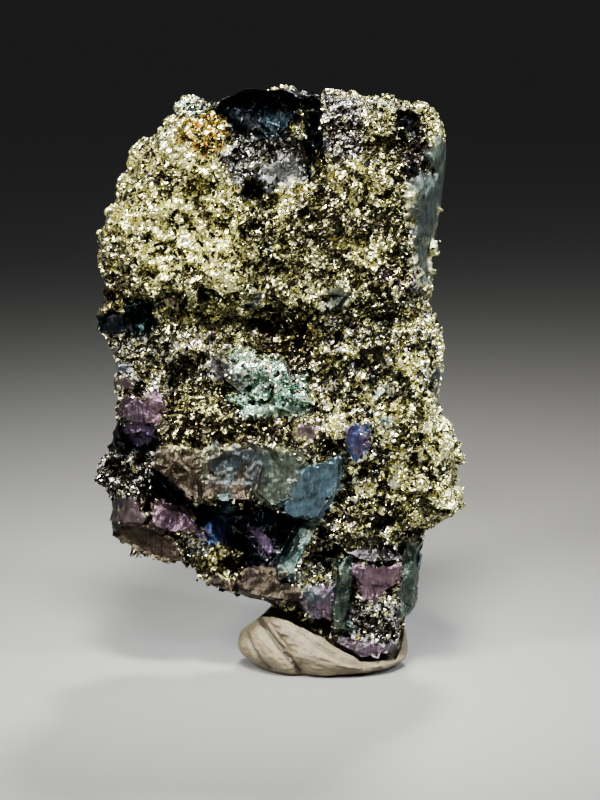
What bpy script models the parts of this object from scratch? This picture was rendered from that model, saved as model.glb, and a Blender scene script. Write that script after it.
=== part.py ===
"""A covellite and pyrite specimen that stands on a pressed lump of putty.

The frame is +Z up, with the specimen's best face towards -Y. Shapes are worked out in millimetres in a
frame whose Y = 0 is the middle plane of the rock, and are scaled to metres and centred at the end.
"""

from math import radians
from random import Random

import bmesh
import bpy
from mathutils import Euler, Matrix, Vector, noise
from mathutils.geometry import delaunay_2d_cdt, intersect_point_line

MM = 0.001

# Driving dimensions of the rock, in millimetres
OUTLINE_STEP = 1.35
RIM_LAYERS = ((-2.0, 0.2, 0.7), (-1.1, 0.0, 0.12), (0.5, 0.0, 1.1), (2.1, 0.3, 2.2), (3.0, 0.9, 3.0))
FRONT_SWELL = 5.6
BACK_SWELL = 6.4
FRONT_RIM = 2.4
BACK_RIM = 3.4
FRONT_SLOPE = 1.7
BACK_SLOPE = 0.95
FRONT_FINE = 1.05
FRONT_COARSE = 2.1
BACK_FINE = 1.3
BACK_COARSE = 2.9
LEDGE_WIDTH = 0.5
LEDGE_STEP = 1.0
FACET_JITTER = 0.38
CRACK_DEPTH = 1.5
CANDIDATES = 9000

# The rock's outline seen from the front, as (x, z), clockwise from the left end of its top edge
OUTLINE = (
    (-9.9, 60.5), (-7.7, 60.9), (-6.3, 60.2), (-3.2, 61.7), (0.6, 61.8), (3.1, 61.0), (4.9, 61.4),
    (9.1, 61.0), (12.1, 61.0), (15.5, 60.0), (16.8, 58.4), (17.7, 56.9), (17.7, 53.0), (17.5, 51.5),
    (16.6, 46.7), (15.9, 43.8), (15.6, 39.8), (16.6, 37.4), (17.0, 34.1), (16.9, 30.9), (16.6, 28.6),
    (17.0, 27.4), (18.0, 25.7), (18.9, 23.8), (19.3, 22.1), (18.8, 20.2), (19.2, 17.0), (18.4, 16.2),
    (15.9, 15.0), (15.0, 13.1), (14.6, 10.0), (14.3, 6.8), (13.4, 5.3), (12.7, 3.3), (12.1, 1.3),
    (9.9, 1.1), (6.2, 2.2), (3.4, 3.6), (1.2, 5.2), (-1.3, 7.0), (-4.6, 7.7), (-6.9, 8.6),
    (-8.4, 9.4), (-8.5, 10.3), (-10.1, 11.5), (-11.4, 11.0), (-13.1, 11.7), (-15.4, 12.8),
    (-17.1, 13.8), (-17.5, 15.8), (-17.2, 16.8), (-17.4, 18.3), (-19.3, 19.5), (-19.3, 21.1),
    (-18.1, 22.8), (-17.1, 25.0), (-16.8, 27.6), (-17.2, 32.5), (-17.2, 34.8), (-18.8, 35.9),
    (-18.8, 37.4), (-18.1, 39.2), (-18.5, 42.6), (-18.7, 46.3), (-17.9, 48.4), (-16.3, 51.7),
    (-15.5, 53.2), (-15.1, 54.9), (-14.0, 56.0), (-12.1, 57.7), (-11.1, 59.1),
)

# Blocks of the front that stand out (height over 0) or lie deeper, each inside its own outline.
# lean is how much the height grows for each millimetre to the right and up.
FRONT_BLOCKS = {
    "left_shoulder": dict(height=1.5, lean=(0.02, -0.05), outline=(
        (-17.7, 49.6), (-14.4, 56.4), (-10.3, 59.6), (-6.9, 57.4), (-5.0, 51.2), (-1.7, 46.9),
        (-3.0, 42.2), (-9.2, 41.2), (-15.5, 42.6), (-18.3, 44.2))),
    "right_shoulder": dict(height=1.1, lean=(-0.02, 0.02), outline=(
        (4.8, 60.2), (12.5, 60.4), (15.3, 56.9), (13.4, 52.2), (14.1, 46.5), (14.6, 41.3),
        (8.2, 40.6), (1.4, 40.8), (-0.8, 46.6), (2.6, 51.2), (4.6, 52.4))),
    "crown_scoop": dict(height=-4.2, lean=(0.0, -0.25), outline=(
        (-7.0, 60.0), (-4.6, 62.5), (0.4, 62.5), (3.2, 60.2), (2.4, 58.4), (-1.4, 57.3), (-4.6, 57.4))),
    "throat": dict(height=-3.0, lean=(0.1, 0.0), outline=(
        (-0.8, 56.6), (2.9, 57.2), (3.3, 52.6), (0.6, 51.2), (-1.8, 48.8), (-4.3, 49.6), (-4.3, 52.3),
        (-2.0, 54.0))),
    "crevice": dict(height=-3.6, lean=(0.0, 0.0), outline=(
        (2.9, 61.5), (4.4, 61.5), (4.5, 53.0), (3.7, 51.4), (3.0, 53.0))),
    "corner_pit": dict(height=-2.4, lean=(0.0, 0.0), outline=(
        (11.6, 59.8), (14.2, 60.0), (15.0, 58.4), (13.4, 57.2), (11.8, 58.2))),
    "waist": dict(height=-1.3, lean=(0.0, 0.0), outline=(
        (-18.0, 40.2), (-9.0, 40.4), (0.0, 39.8), (6.0, 38.2), (3.4, 34.4), (-6.0, 35.4), (-17.0, 35.0))),
    "left_pocket": dict(height=-2.0, lean=(0.0, 0.0), outline=(
        (-17.4, 39.6), (-13.6, 40.2), (-12.6, 37.4), (-14.0, 34.8), (-17.0, 36.2))),
    "dark_vug": dict(height=-2.6, lean=(0.0, 0.0), outline=(
        (-4.0, 37.0), (-0.6, 38.3), (3.2, 37.4), (2.6, 34.2), (-0.4, 33.4), (-3.6, 34.4))),
    "nodule": dict(height=2.4, lean=(0.02, -0.02), outline=(
        (-12.4, 28.6), (-6.2, 30.2), (0.6, 28.4), (3.4, 24.8), (4.8, 19.8), (1.4, 18.4), (-4.8, 19.4),
        (-8.4, 19.0), (-13.4, 23.4))),
    "under_nodule": dict(height=-2.2, lean=(0.0, 0.0), outline=(
        (-12.8, 20.6), (-8.4, 18.6), (-4.8, 19.0), (1.6, 17.8), (0.2, 13.8), (-2.8, 12.6), (-5.4, 14.8),
        (-9.4, 17.0))),
    "left_knob": dict(height=1.3, lean=(0.05, 0.0), outline=(
        (-18.6, 22.6), (-16.2, 24.4), (-13.2, 23.6), (-13.4, 20.2), (-16.4, 19.2), (-18.9, 20.4))),
    "pyrite_cheek": dict(height=1.5, lean=(0.05, 0.0), outline=(
        (7.0, 33.0), (15.8, 32.0), (18.0, 25.0), (18.4, 18.0), (13.0, 15.8), (8.4, 17.2), (6.6, 24.0))),
    "toe_fall": dict(height=-1.4, lean=(0.0, 0.06), outline=(
        (-9.0, 12.0), (-1.0, 12.2), (6.0, 13.4), (14.0, 14.4), (15.5, 3.0), (9.0, 0.0), (-3.0, 5.0))),
}

# The back, seen through the rock from the front, so x grows the same way
BACK_BLOCKS = {
    "upper_slab": dict(height=1.6, lean=(0.03, -0.06), outline=(
        (-15.0, 55.0), (-4.0, 60.0), (6.0, 58.6), (9.0, 47.0), (2.0, 41.4), (-9.0, 40.2), (-16.4, 45.0))),
    "right_step": dict(height=-1.7, lean=(-0.05, 0.03), outline=(
        (8.2, 60.0), (17.0, 57.0), (16.4, 43.0), (10.2, 39.6), (7.4, 46.4))),
    "back_hollow": dict(height=-2.6, lean=(0.0, 0.0), outline=(
        (-6.0, 38.2), (1.2, 39.4), (6.4, 36.2), (3.2, 31.6), (-4.4, 32.2))),
    "middle_lump": dict(height=1.9, lean=(-0.03, 0.02), outline=(
        (-14.8, 34.6), (-6.6, 31.2), (3.4, 30.0), (6.0, 22.2), (-1.4, 17.2), (-11.6, 19.8), (-16.0, 26.6))),
    "right_hip": dict(height=1.3, lean=(0.04, 0.0), outline=(
        (8.6, 33.2), (15.6, 30.0), (17.4, 20.4), (12.4, 16.6), (8.0, 20.0))),
    "heel_fall": dict(height=-2.0, lean=(0.0, 0.05), outline=(
        (-12.0, 15.0), (-2.0, 15.4), (8.0, 13.0), (14.6, 13.6), (15.0, 2.0), (8.0, 0.0), (-4.0, 5.0))),
}

# Covellite plates and flat broken faces. at is the middle as (x, z), proud is how far it stands out
# there, half is the half width and half length, and thick its thickness where that isn't the usual
# one. yaw turns a plate to the right, pitch tips it up, and spin turns it in its own plane.
PLATE_THICK = 4.6
PLATES = {
    "crown_floor": dict(at=(-1.9, 58.5), proud=0.5, half=(4.5, 2.3), thick=2.6, yaw=6, pitch=12, spin=4, sides=7),
    "throat_wall": dict(at=(2.0, 54.4), proud=1.0, half=(1.7, 2.7), yaw=-38, pitch=10, spin=-8, sides=5),
    "right_cleavage": dict(at=(14.6, 48.8), proud=0.7, half=(2.9, 8.4), yaw=52, pitch=2, spin=-5, sides=7),
    "left_spur": dict(at=(-16.6, 36.9), proud=0.9, half=(2.4, 1.1), thick=2.8, yaw=-12, pitch=0, spin=12, sides=5),
    "left_green_plate": dict(at=(-13.9, 37.9), proud=0.7, half=(1.0, 2.1), yaw=34, pitch=-5, spin=8, sides=6),
    "waist_grey_plate": dict(at=(-3.1, 40.2), proud=0.7, half=(0.9, 1.5), yaw=20, pitch=5, spin=28, sides=6),
    "teal_slope": dict(at=(-1.0, 31.6), proud=0.9, half=(4.3, 2.5), yaw=4, pitch=30, spin=24, sides=7),
    "teal_lens": dict(at=(-1.2, 28.2), proud=0.9, half=(3.4, 1.3), thick=1.8, yaw=4, pitch=-14, spin=4, sides=8),
    "left_purple_upper": dict(at=(-13.9, 28.7), proud=0.9, half=(2.5, 1.6), yaw=-20, pitch=6, spin=-14, sides=6),
    "left_purple_lower": dict(at=(-15.8, 26.3), proud=0.8, half=(1.5, 1.7), yaw=-32, pitch=-6, spin=20, sides=5),
    "rose_facet": dict(at=(2.9, 26.0), proud=0.8, half=(1.9, 1.6), yaw=16, pitch=10, spin=32, sides=5),
    "royal_facet": dict(at=(8.3, 25.4), proud=0.7, half=(1.2, 2.0), yaw=-14, pitch=4, spin=10, sides=6),
    "nodule_crown": dict(at=(-6.8, 27.0), proud=0.7, half=(4.2, 2.6), thick=6.4, yaw=-6, pitch=28, spin=6, sides=7),
    "nodule_bronze": dict(at=(-10.9, 22.4), proud=0.8, half=(1.9, 4.0), yaw=-24, pitch=-8, spin=-47, sides=6),
    "nodule_grey": dict(at=(-5.2, 22.0), proud=0.9, half=(3.7, 2.5), yaw=-4, pitch=-12, spin=6, sides=7),
    "nodule_teal": dict(at=(0.0, 21.6), proud=0.6, half=(2.1, 2.6), yaw=12, pitch=-4, spin=12, sides=6),
    "blue_blade": dict(at=(3.6, 20.6), proud=1.3, half=(2.3, 3.9), thick=1.4, yaw=10, pitch=6, spin=38, sides=6),
    "green_blade": dict(at=(2.0, 13.8), proud=1.5, half=(1.6, 3.9), thick=1.6, yaw=-10, pitch=-6, spin=30, sides=6),
    "knob_core": dict(at=(-16.2, 21.7), proud=0.9, half=(2.6, 2.2), thick=4.4, yaw=-18, pitch=4, spin=10, sides=7),
    "foot_purple": dict(at=(-14.7, 17.2), proud=0.9, half=(2.1, 2.2), yaw=-14, pitch=16, spin=0, sides=3),
    "foot_brown": dict(at=(-13.2, 14.1), proud=0.9, half=(4.0, 1.7), yaw=-6, pitch=-28, spin=13, sides=7),
    "rose_boulder": dict(at=(-11.0, 16.8), proud=1.3, half=(2.9, 1.5), yaw=6, pitch=12, spin=12, sides=7),
    "indigo_facet": dict(at=(-6.8, 15.2), proud=0.8, half=(1.5, 1.9), yaw=-16, pitch=-4, spin=-10, sides=5),
    "midnight_facet": dict(at=(-5.0, 17.6), proud=0.7, half=(2.2, 1.1), yaw=10, pitch=22, spin=8, sides=6),
    "violet_sliver": dict(at=(-1.6, 14.0), proud=0.8, half=(0.6, 1.9), thick=1.5, yaw=14, pitch=-10, spin=-42, sides=6),
    "bronze_sole": dict(at=(-1.0, 9.6), proud=0.8, half=(4.0, 1.5), yaw=4, pitch=-24, spin=17, sides=7),
    "sole_left": dict(at=(-6.6, 10.6), proud=0.8, half=(2.5, 1.3), yaw=-12, pitch=-18, spin=20, sides=6),
    "steel_facet": dict(at=(4.2, 7.9), proud=0.8, half=(2.2, 1.9), yaw=-6, pitch=-4, spin=30, sides=6),
    "green_rib": dict(at=(6.7, 8.9), proud=1.2, half=(0.8, 4.2), yaw=18, pitch=-2, spin=9, sides=6),
    "rose_fan_upper": dict(at=(10.3, 11.0), proud=0.9, half=(2.7, 1.8), yaw=8, pitch=4, spin=-4, sides=5),
    "rose_fan_lower": dict(at=(9.0, 8.3), proud=0.8, half=(1.1, 2.2), yaw=-6, pitch=-8, spin=4, sides=5),
    "toe_face": dict(at=(9.2, 4.3), proud=0.6, half=(2.9, 2.7), yaw=4, pitch=-12, spin=14, sides=6),
    "teal_flank": dict(at=(13.2, 9.4), proud=0.8, half=(1.9, 3.9), yaw=54, pitch=-2, spin=4, sides=7),
    "cheek_upper": dict(at=(15.4, 25.2), proud=0.9, half=(2.6, 3.2), yaw=20, pitch=14, spin=-28, sides=7),
    "cheek_lower": dict(at=(15.8, 19.6), proud=0.9, half=(2.8, 2.9), yaw=14, pitch=-12, spin=12, sides=7),
    "right_rib": dict(at=(15.2, 34.6), proud=0.7, half=(1.6, 3.8), yaw=26, pitch=4, spin=-4, sides=7),
}

# Plates of the back, seen from behind, with x still as from the front
BACK_PLATES = {
    "back_plate_a": dict(at=(-6.0, 50.0), proud=0.9, half=(4.6, 3.2), yaw=8, pitch=-16, spin=22, sides=7),
    "back_plate_b": dict(at=(5.4, 52.4), proud=0.9, half=(3.0, 4.2), yaw=-18, pitch=-8, spin=-14, sides=6),
    "back_plate_c": dict(at=(11.6, 44.0), proud=0.9, half=(2.4, 4.4), yaw=-34, pitch=4, spin=8, sides=6),
    "back_plate_d": dict(at=(-11.0, 36.2), proud=0.9, half=(3.4, 2.2), yaw=24, pitch=10, spin=-20, sides=6),
    "back_plate_e": dict(at=(-3.6, 26.0), proud=0.9, half=(4.4, 3.0), thick=5.0, yaw=6, pitch=6, spin=30, sides=7),
    "back_plate_f": dict(at=(6.8, 24.4), proud=0.9, half=(2.6, 3.8), yaw=-20, pitch=-6, spin=-32, sides=6),
    "back_plate_g": dict(at=(12.6, 23.4), proud=0.9, half=(2.6, 2.8), yaw=-30, pitch=10, spin=12, sides=7),
    "back_plate_h": dict(at=(-10.8, 19.2), proud=0.9, half=(2.8, 2.2), yaw=26, pitch=-14, spin=16, sides=6),
    "back_plate_i": dict(at=(1.4, 14.2), proud=0.9, half=(3.4, 2.4), yaw=4, pitch=18, spin=-18, sides=6),
    "back_plate_j": dict(at=(8.8, 8.6), proud=0.9, half=(2.6, 3.4), yaw=-14, pitch=14, spin=10, sides=6),
}

# The putty, in millimetres in the same frame
PUTTY_LEFT = -4.3
PUTTY_RIGHT = 13.5
PUTTY_HALF_DEPTH = 6.9
PUTTY_MIDDLE_Y = 0.2
PUTTY_FLAT = 0.6
PUTTY_FRONT = (
    (-4.3, 5.6), (-1.4, 7.1), (0.8, 7.0), (2.2, 6.4), (4.3, 5.0), (6.9, 3.4), (10.0, 2.5), (13.5, 2.7))
PUTTY_BACK = ((-4.3, 5.0), (0.0, 6.6), (6.0, 6.0), (11.8, 6.9), (13.5, 6.4))
PUTTY_SEGMENTS = 42
PUTTY_RINGS = 22
FOLD_TOP = (-1.9, 5.6)
FOLD_FOOT = (2.8, 0.0)
FOLD_WIDTH = 1.1
FOLD_DEPTH = 0.9
SOCKET_GAP = 0.36
SOCKET_TOP = 7.6


def clear_scene():
    for obj in list(bpy.data.objects):
        bpy.data.objects.remove(obj)


def make_material(name, colour, roughness, metallic):
    material = bpy.data.materials.new(name)
    material.use_nodes = True
    shader = material.node_tree.nodes["Principled BSDF"]
    shader.inputs["Base Color"].default_value = (*colour, 1.0)
    shader.inputs["Roughness"].default_value = roughness
    shader.inputs["Metallic"].default_value = metallic
    return material


def make_object(name, bm, material=None):
    """A mesh object in metres from a bmesh in millimetres."""
    bm.transform(Matrix.Scale(MM, 4))
    mesh = bpy.data.meshes.new(name)
    bm.to_mesh(mesh)
    bm.free()
    obj = bpy.data.objects.new(name, mesh)
    bpy.context.scene.collection.objects.link(obj)
    if material:
        mesh.materials.append(material)
    return obj


def make_helper(name, bm):
    """An object that only shapes another one."""
    obj = make_object(name, bm)
    obj.hide_render = True
    obj.display_type = "WIRE"
    return obj


def edge_distance(x, z, outline):
    """How far a point lies inside an outline, under 0 outside it."""
    point = Vector((x, z))
    nearest = float("inf")
    inside = False
    for i, corner in enumerate(outline):
        a = Vector(outline[i - 1])
        b = Vector(corner)
        foot, share = intersect_point_line(point, a, b)
        foot = a.lerp(b, min(1.0, max(0.0, share)))
        nearest = min(nearest, (point - foot.to_2d()).length)
        if (a.y > z) != (b.y > z) and x < a.x + (z - a.y) * (b.x - a.x) / (b.y - a.y):
            inside = not inside
    return nearest if inside else -nearest


def smooth_step(value):
    share = min(1.0, max(0.0, value))
    return share * share * (3.0 - 2.0 * share)


def wander(place):
    """Three separate noise values at one place."""
    apart = (Vector((0.0, 0.0, 0.0)), Vector((31.7, 0.0, 5.1)), Vector((0.0, 47.3, 9.4)))
    return Vector([noise.noise(place + shift) for shift in apart])


def strayed(x, z):
    """Where a point of a wavy block outline lies on the straight-sided one."""
    stray = 1.5 * wander(Vector((0.31 * x, 2.0, 0.31 * z))) + 0.6 * wander(Vector((0.9 * x, 6.0, 0.9 * z)))
    return x + stray.x, z + stray.z


def block_height(x, z, block):
    """What one block adds to the surface at a point, with a steep ledge all round it."""
    share = smooth_step(0.5 + edge_distance(x, z, block["outline"]) / LEDGE_WIDTH)
    if share == 0.0:
        return 0.0
    middle_x = sum(p[0] for p in block["outline"]) / len(block["outline"])
    middle_z = sum(p[1] for p in block["outline"]) / len(block["outline"])
    lean = block["lean"][0] * (x - middle_x) + block["lean"][1] * (z - middle_z)
    return share * (block["height"] + lean)


def surface_height(x, z, blocks, swell, rim, slope, seed):
    """How far the front or back face stands from the middle plane."""
    inside = max(0.0, edge_distance(x, z, OUTLINE))
    straight_x, straight_z = strayed(x, z)
    height = swell + sum(block_height(straight_x, straight_z, block) for block in blocks.values())
    height += 1.6 * noise.noise(Vector((0.13 * x, seed, 0.13 * z)))
    height += 1.9 * noise.noise(Vector((0.38 * x, seed + 5.0, 0.38 * z)))
    height += 1.2 * noise.noise(Vector((1.1 * x, seed + 9.0, 1.1 * z)))
    crack = abs(noise.noise(Vector((0.24 * x, seed + 14.0, 0.24 * z))))
    height -= CRACK_DEPTH * (1.0 - smooth_step(crack / 0.09))
    rim_here = rim + 1.1 * noise.noise(Vector((0.16 * x, seed, 0.16 * z)))
    slope_here = slope * (1.0 + 0.5 * noise.noise(Vector((0.2 * x, seed + 3.0, 0.2 * z))))
    return max(0.8, min(height, rim_here + slope_here * inside))


def front_height(x, z):
    return surface_height(x, z, FRONT_BLOCKS, FRONT_SWELL, FRONT_RIM, FRONT_SLOPE, 1.0)


def back_height(x, z):
    return surface_height(x, z, BACK_BLOCKS, BACK_SWELL, BACK_RIM, BACK_SLOPE, 40.0)


def inward_of(points):
    """Unit vectors that point into the rock from each point of a clockwise loop."""
    count = len(points)
    vectors = []
    for i in range(count):
        along = (points[(i + 2) % count] - points[i - 2]).normalized()
        vectors.append(Vector((along.y, -along.x)))
    return vectors


def outline_points():
    """The outline with its long sides split into short ones."""
    points = []
    for i, corner in enumerate(OUTLINE):
        a = Vector(OUTLINE[i - 1])
        b = Vector(corner)
        pieces = max(1, round((b - a).length / OUTLINE_STEP))
        points += [a.lerp(b, k / pieces) for k in range(pieces)]
    return points


def rim_rings():
    """Loops of points round the rock's edge, from its front to its back."""
    points = outline_points()
    inward = inward_of(points)
    rings = []
    for number, (share, least, most) in enumerate(RIM_LAYERS):
        ring = []
        for point, into in zip(points, inward):
            place = Vector((0.23 * point.x, 2.7 * number, 0.23 * point.y))
            bite = least + (most - least) * smooth_step(0.5 + 1.3 * noise.noise(place))
            bite *= 1.0 + 0.5 * noise.noise(place * 4.7)
            x, z = point + into * bite
            wave = 0.9 * noise.noise(place * 3.1)
            if number == 0:
                y = -front_height(x, z)
            elif number == len(RIM_LAYERS) - 1:
                y = back_height(x, z)
            else:
                y = share + wave
            ring.append(Vector((x, y, z)))
        rings.append(ring)
    return rings


def ledge_points(blocks):
    """Pairs of points just inside and outside the blocks' outlines, which keep their ledges sharp."""
    points = []
    for block in blocks.values():
        corners = [Vector(p) for p in block["outline"]]
        for i, b in enumerate(corners):
            a = corners[i - 1]
            side = (b - a).normalized()
            across = Vector((side.y, -side.x)) * 0.5 * LEDGE_WIDTH
            pieces = max(1, round((b - a).length / LEDGE_STEP))
            for k in range(pieces):
                place = a.lerp(b, (k + 0.5) / pieces)
                shift = Vector(strayed(place.x, place.y)) - place
                points += [place - shift + across, place - shift - across]
    return points


def scattered_points(loop, blocks, fine, coarse, seed):
    """Points over one face of the rock, closer together in some parts than in others."""
    chosen = []
    loop_outline = [tuple(p) for p in loop]
    for point in ledge_points(blocks):
        if edge_distance(point.x, point.y, loop_outline) > 0.8:
            if all((point - other).length > 0.42 for other in chosen):
                chosen.append(point)
    ledges = len(chosen)
    generator = Random(seed)
    for _ in range(CANDIDATES):
        point = Vector((generator.uniform(-20.0, 20.0), generator.uniform(0.0, 62.5)))
        wide = smooth_step(0.5 + 1.2 * noise.noise(Vector((0.17 * point.x, seed, 0.17 * point.y))))
        apart = fine + (coarse - fine) * wide
        if any((point - other).length < 0.62 * apart for other in chosen[:ledges]):
            continue
        if any((point - other).length < apart for other in chosen[ledges:]):
            continue
        if edge_distance(point.x, point.y, loop_outline) > 0.45 * apart:
            chosen.append(point)
    return chosen


def add_face_side(bm, ring, blocks, height_at, sign, fine, coarse, seed):
    """One broad face of the rock: flat facets between scattered points, inside its ring."""
    loop = [Vector((v.co.x, v.co.z)) for v in ring]
    inner = scattered_points(loop, blocks, fine, coarse, seed)
    count = len(loop)
    turned = list(range(count))[::-1]
    result = delaunay_2d_cdt([*loop, *inner], [], [turned], 1, 0.0001)
    places, faces, sources = result[0], result[2], result[3]
    generator = Random(seed)
    verts = []
    for place, source in zip(places, sources):
        if source and min(source) < count:
            verts.append(ring[min(source)])
        else:
            chip = FACET_JITTER * generator.uniform(-1.0, 1.0)
            verts.append(bm.verts.new((place.x, sign * (height_at(place.x, place.y) + chip), place.y)))
    for face in faces:
        corners = [verts[k] for k in face]
        bm.faces.new(corners if sign < 0 else corners[::-1])


def rock_body():
    """The rock without its plates: two broad faces of flat facets and a rim of bitten layers."""
    bm = bmesh.new()
    rings = [[bm.verts.new(p) for p in ring] for ring in rim_rings()]
    for upper, lower in zip(rings, rings[1:]):
        for i, vert in enumerate(upper):
            bm.faces.new((upper[i - 1], lower[i - 1], lower[i], vert))
    add_face_side(bm, rings[0], FRONT_BLOCKS, front_height, -1, FRONT_FINE, FRONT_COARSE, 3)
    add_face_side(bm, rings[-1], BACK_BLOCKS, back_height, 1, BACK_FINE, BACK_COARSE, 8)
    bmesh.ops.triangulate(bm, faces=bm.faces)
    bmesh.ops.recalc_face_normals(bm, faces=bm.faces)
    return bm


def plate_turn(plate):
    spin = Euler((0.0, radians(plate["spin"]), 0.0)).to_matrix()
    pitch = Euler((radians(plate["pitch"]), 0.0, 0.0)).to_matrix()
    yaw = Euler((0.0, 0.0, radians(plate["yaw"]))).to_matrix()
    return (yaw @ pitch @ spin).to_4x4()


def seat_height(plate, height_at):
    """The mean height of the rock under a plate."""
    x, z = plate["at"]
    wide, long = plate["half"]
    spots = [(0.0, 0.0), (0.6, 0.0), (-0.6, 0.0), (0.0, 0.6), (0.0, -0.6)]
    return sum(height_at(x + wide * i, z + long * k) for i, k in spots) / len(spots)


def plate_chip(name, plate, is_back):
    """One covellite plate: an uneven polygon drawn out to its thickness, with a smaller outer face."""
    bm = bmesh.new()
    bmesh.ops.create_circle(bm, cap_ends=True, segments=plate["sides"], radius=1.0)
    seed = float(len(name)) + plate["at"][0]
    for vert in bm.verts:
        vert.co *= 1.0 + 0.22 * noise.noise(vert.co * 2.0 + Vector((seed, seed, 0.0)))
    bmesh.ops.rotate(bm, verts=bm.verts, matrix=Euler((radians(90), 0.0, 0.0)).to_matrix())
    grown = bmesh.ops.extrude_face_region(bm, geom=bm.faces[:])["geom"]
    moved = [item for item in grown if isinstance(item, bmesh.types.BMVert)]
    bmesh.ops.translate(bm, verts=moved, vec=(0.0, plate.get("thick", PLATE_THICK), 0.0))
    bmesh.ops.scale(bm, verts=moved, vec=(1.12, 1.0, 1.12))
    half_width, half_length = plate["half"]
    bmesh.ops.scale(bm, verts=bm.verts, vec=(half_width, 1.0, half_length))
    x, z = plate["at"]
    turn = plate_turn(plate)
    if is_back:
        y = seat_height(plate, back_height) + plate["proud"]
        turn = Matrix.Rotation(radians(180), 4, "Z") @ turn
    else:
        y = -seat_height(plate, front_height) - plate["proud"]
    bm.transform(Matrix.Translation((x, y, z)) @ turn)
    bmesh.ops.recalc_face_normals(bm, faces=bm.faces)
    return make_helper(name, bm)


def make_specimen(material):
    specimen = make_object("specimen", rock_body(), material)
    chips = bpy.data.collections.new("plates")
    bpy.context.scene.collection.children.link(chips)
    for name, plate in [*PLATES.items(), *BACK_PLATES.items()]:
        chip = plate_chip(name, plate, name in BACK_PLATES)
        bpy.context.scene.collection.objects.unlink(chip)
        chips.objects.link(chip)
    join = specimen.modifiers.new("plates", "BOOLEAN")
    join.operation = "UNION"
    join.solver = "EXACT"
    join.operand_type = "COLLECTION"
    join.collection = chips
    return specimen


def height_along(x, stations):
    """A height read from a short list of stations along x."""
    for (x_a, h_a), (x_b, h_b) in zip(stations, stations[1:]):
        if x <= x_b:
            return h_a + (h_b - h_a) * smooth_step((x - x_a) / (x_b - x_a))
    return stations[-1][1]


def putty_height(x, y):
    """The lump is highest at its left end, low in front of the rock's tip and higher behind it."""
    share = smooth_step((y + 1.0) / 3.0)
    return (1.0 - share) * height_along(x, PUTTY_FRONT) + share * height_along(x, PUTTY_BACK)


def fold_depth(x, y, z):
    """The slanting fold that was pressed into the front of the lump."""
    if y > -1.0:
        return 0.0
    top = Vector(FOLD_TOP)
    foot = Vector(FOLD_FOOT)
    near, share = intersect_point_line(Vector((x, z)), top, foot)
    apart = (Vector((x, z)) - near.to_2d()).length
    return FOLD_DEPTH * smooth_step(1.0 - apart / FOLD_WIDTH) * smooth_step(-0.5 * (y + 1.0))


def putty_lump():
    """A flattened roll of putty with its underside cut flat."""
    bm = bmesh.new()
    bmesh.ops.create_uvsphere(bm, u_segments=PUTTY_SEGMENTS, v_segments=PUTTY_RINGS, radius=1.0)
    middle = 0.5 * (PUTTY_LEFT + PUTTY_RIGHT)
    half = 0.5 * (PUTTY_RIGHT - PUTTY_LEFT)
    for vert in bm.verts:
        u, w, h = vert.co
        dent = 0.09 * noise.noise(vert.co * 2.1 + Vector((4.0, 0.0, 0.0)))
        x = middle + half * u
        y = PUTTY_MIDDLE_Y + PUTTY_HALF_DEPTH * w * (1.0 + dent)
        rise = (h + PUTTY_FLAT) / (1.0 + PUTTY_FLAT)
        z = putty_height(x, y) * rise * (1.0 + 1.5 * dent)
        inward = Vector((-u, -w, 0.0)) * fold_depth(x, y, z)
        vert.co = (x + inward.x, y + inward.y, z)
    geometry = [*bm.verts, *bm.edges, *bm.faces]
    cut = bmesh.ops.bisect_plane(
        bm, geom=geometry, dist=0.02, plane_co=(0.0, 0.0, 0.0), plane_no=(0.0, 0.0, 1.0), clear_inner=True)
    rim = [item for item in cut["geom_cut"] if isinstance(item, bmesh.types.BMEdge)]
    bmesh.ops.holes_fill(bm, edges=rim, sides=0)
    bmesh.ops.triangulate(bm, faces=bm.faces)
    bmesh.ops.recalc_face_normals(bm, faces=bm.faces)
    return bm


def socket_cutter(specimen):
    """The hull of the specimen's lower end, grown by the gap that the putty keeps to it."""
    graph = bpy.context.evaluated_depsgraph_get()
    evaluated = specimen.evaluated_get(graph)
    bm = bmesh.new()
    bm.from_mesh(evaluated.to_mesh())
    evaluated.to_mesh_clear()
    bm.transform(Matrix.Scale(1.0 / MM, 4))
    geometry = [*bm.verts, *bm.edges, *bm.faces]
    bmesh.ops.bisect_plane(
        bm, geom=geometry, dist=0.001, plane_co=(0.0, 0.0, SOCKET_TOP), plane_no=(0.0, 0.0, 1.0),
        clear_outer=True)
    bmesh.ops.delete(bm, geom=bm.edges[:], context="EDGES_FACES")
    for place in [vert.co.copy() for vert in bm.verts if vert.co.z > SOCKET_TOP - 0.01]:
        bm.verts.new(place + Vector((0.0, 0.0, 2.0)))
    hull = bmesh.ops.convex_hull(bm, input=bm.verts)
    spare = {*hull["geom_interior"], *hull["geom_unused"]}
    loose = [item for item in spare if isinstance(item, bmesh.types.BMVert)]
    bmesh.ops.delete(bm, geom=loose, context="VERTS")
    bmesh.ops.recalc_face_normals(bm, faces=bm.faces)
    bm.normal_update()
    for vert in bm.verts:
        vert.co += vert.normal * 1.5 * SOCKET_GAP
    return make_helper("socket_cutter", bm)


def make_putty(material, cutter):
    putty = make_object("putty_foot", putty_lump(), material)
    cut = putty.modifiers.new("socket", "BOOLEAN")
    cut.operation = "DIFFERENCE"
    cut.solver = "EXACT"
    cut.object = cutter
    return putty


def corners_of(objects):
    graph = bpy.context.evaluated_depsgraph_get()
    points = [Vector(c) for obj in objects for c in obj.evaluated_get(graph).bound_box]
    low = Vector([min(p[i] for p in points) for i in range(3)])
    high = Vector([max(p[i] for p in points) for i in range(3)])
    return low, high


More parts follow.
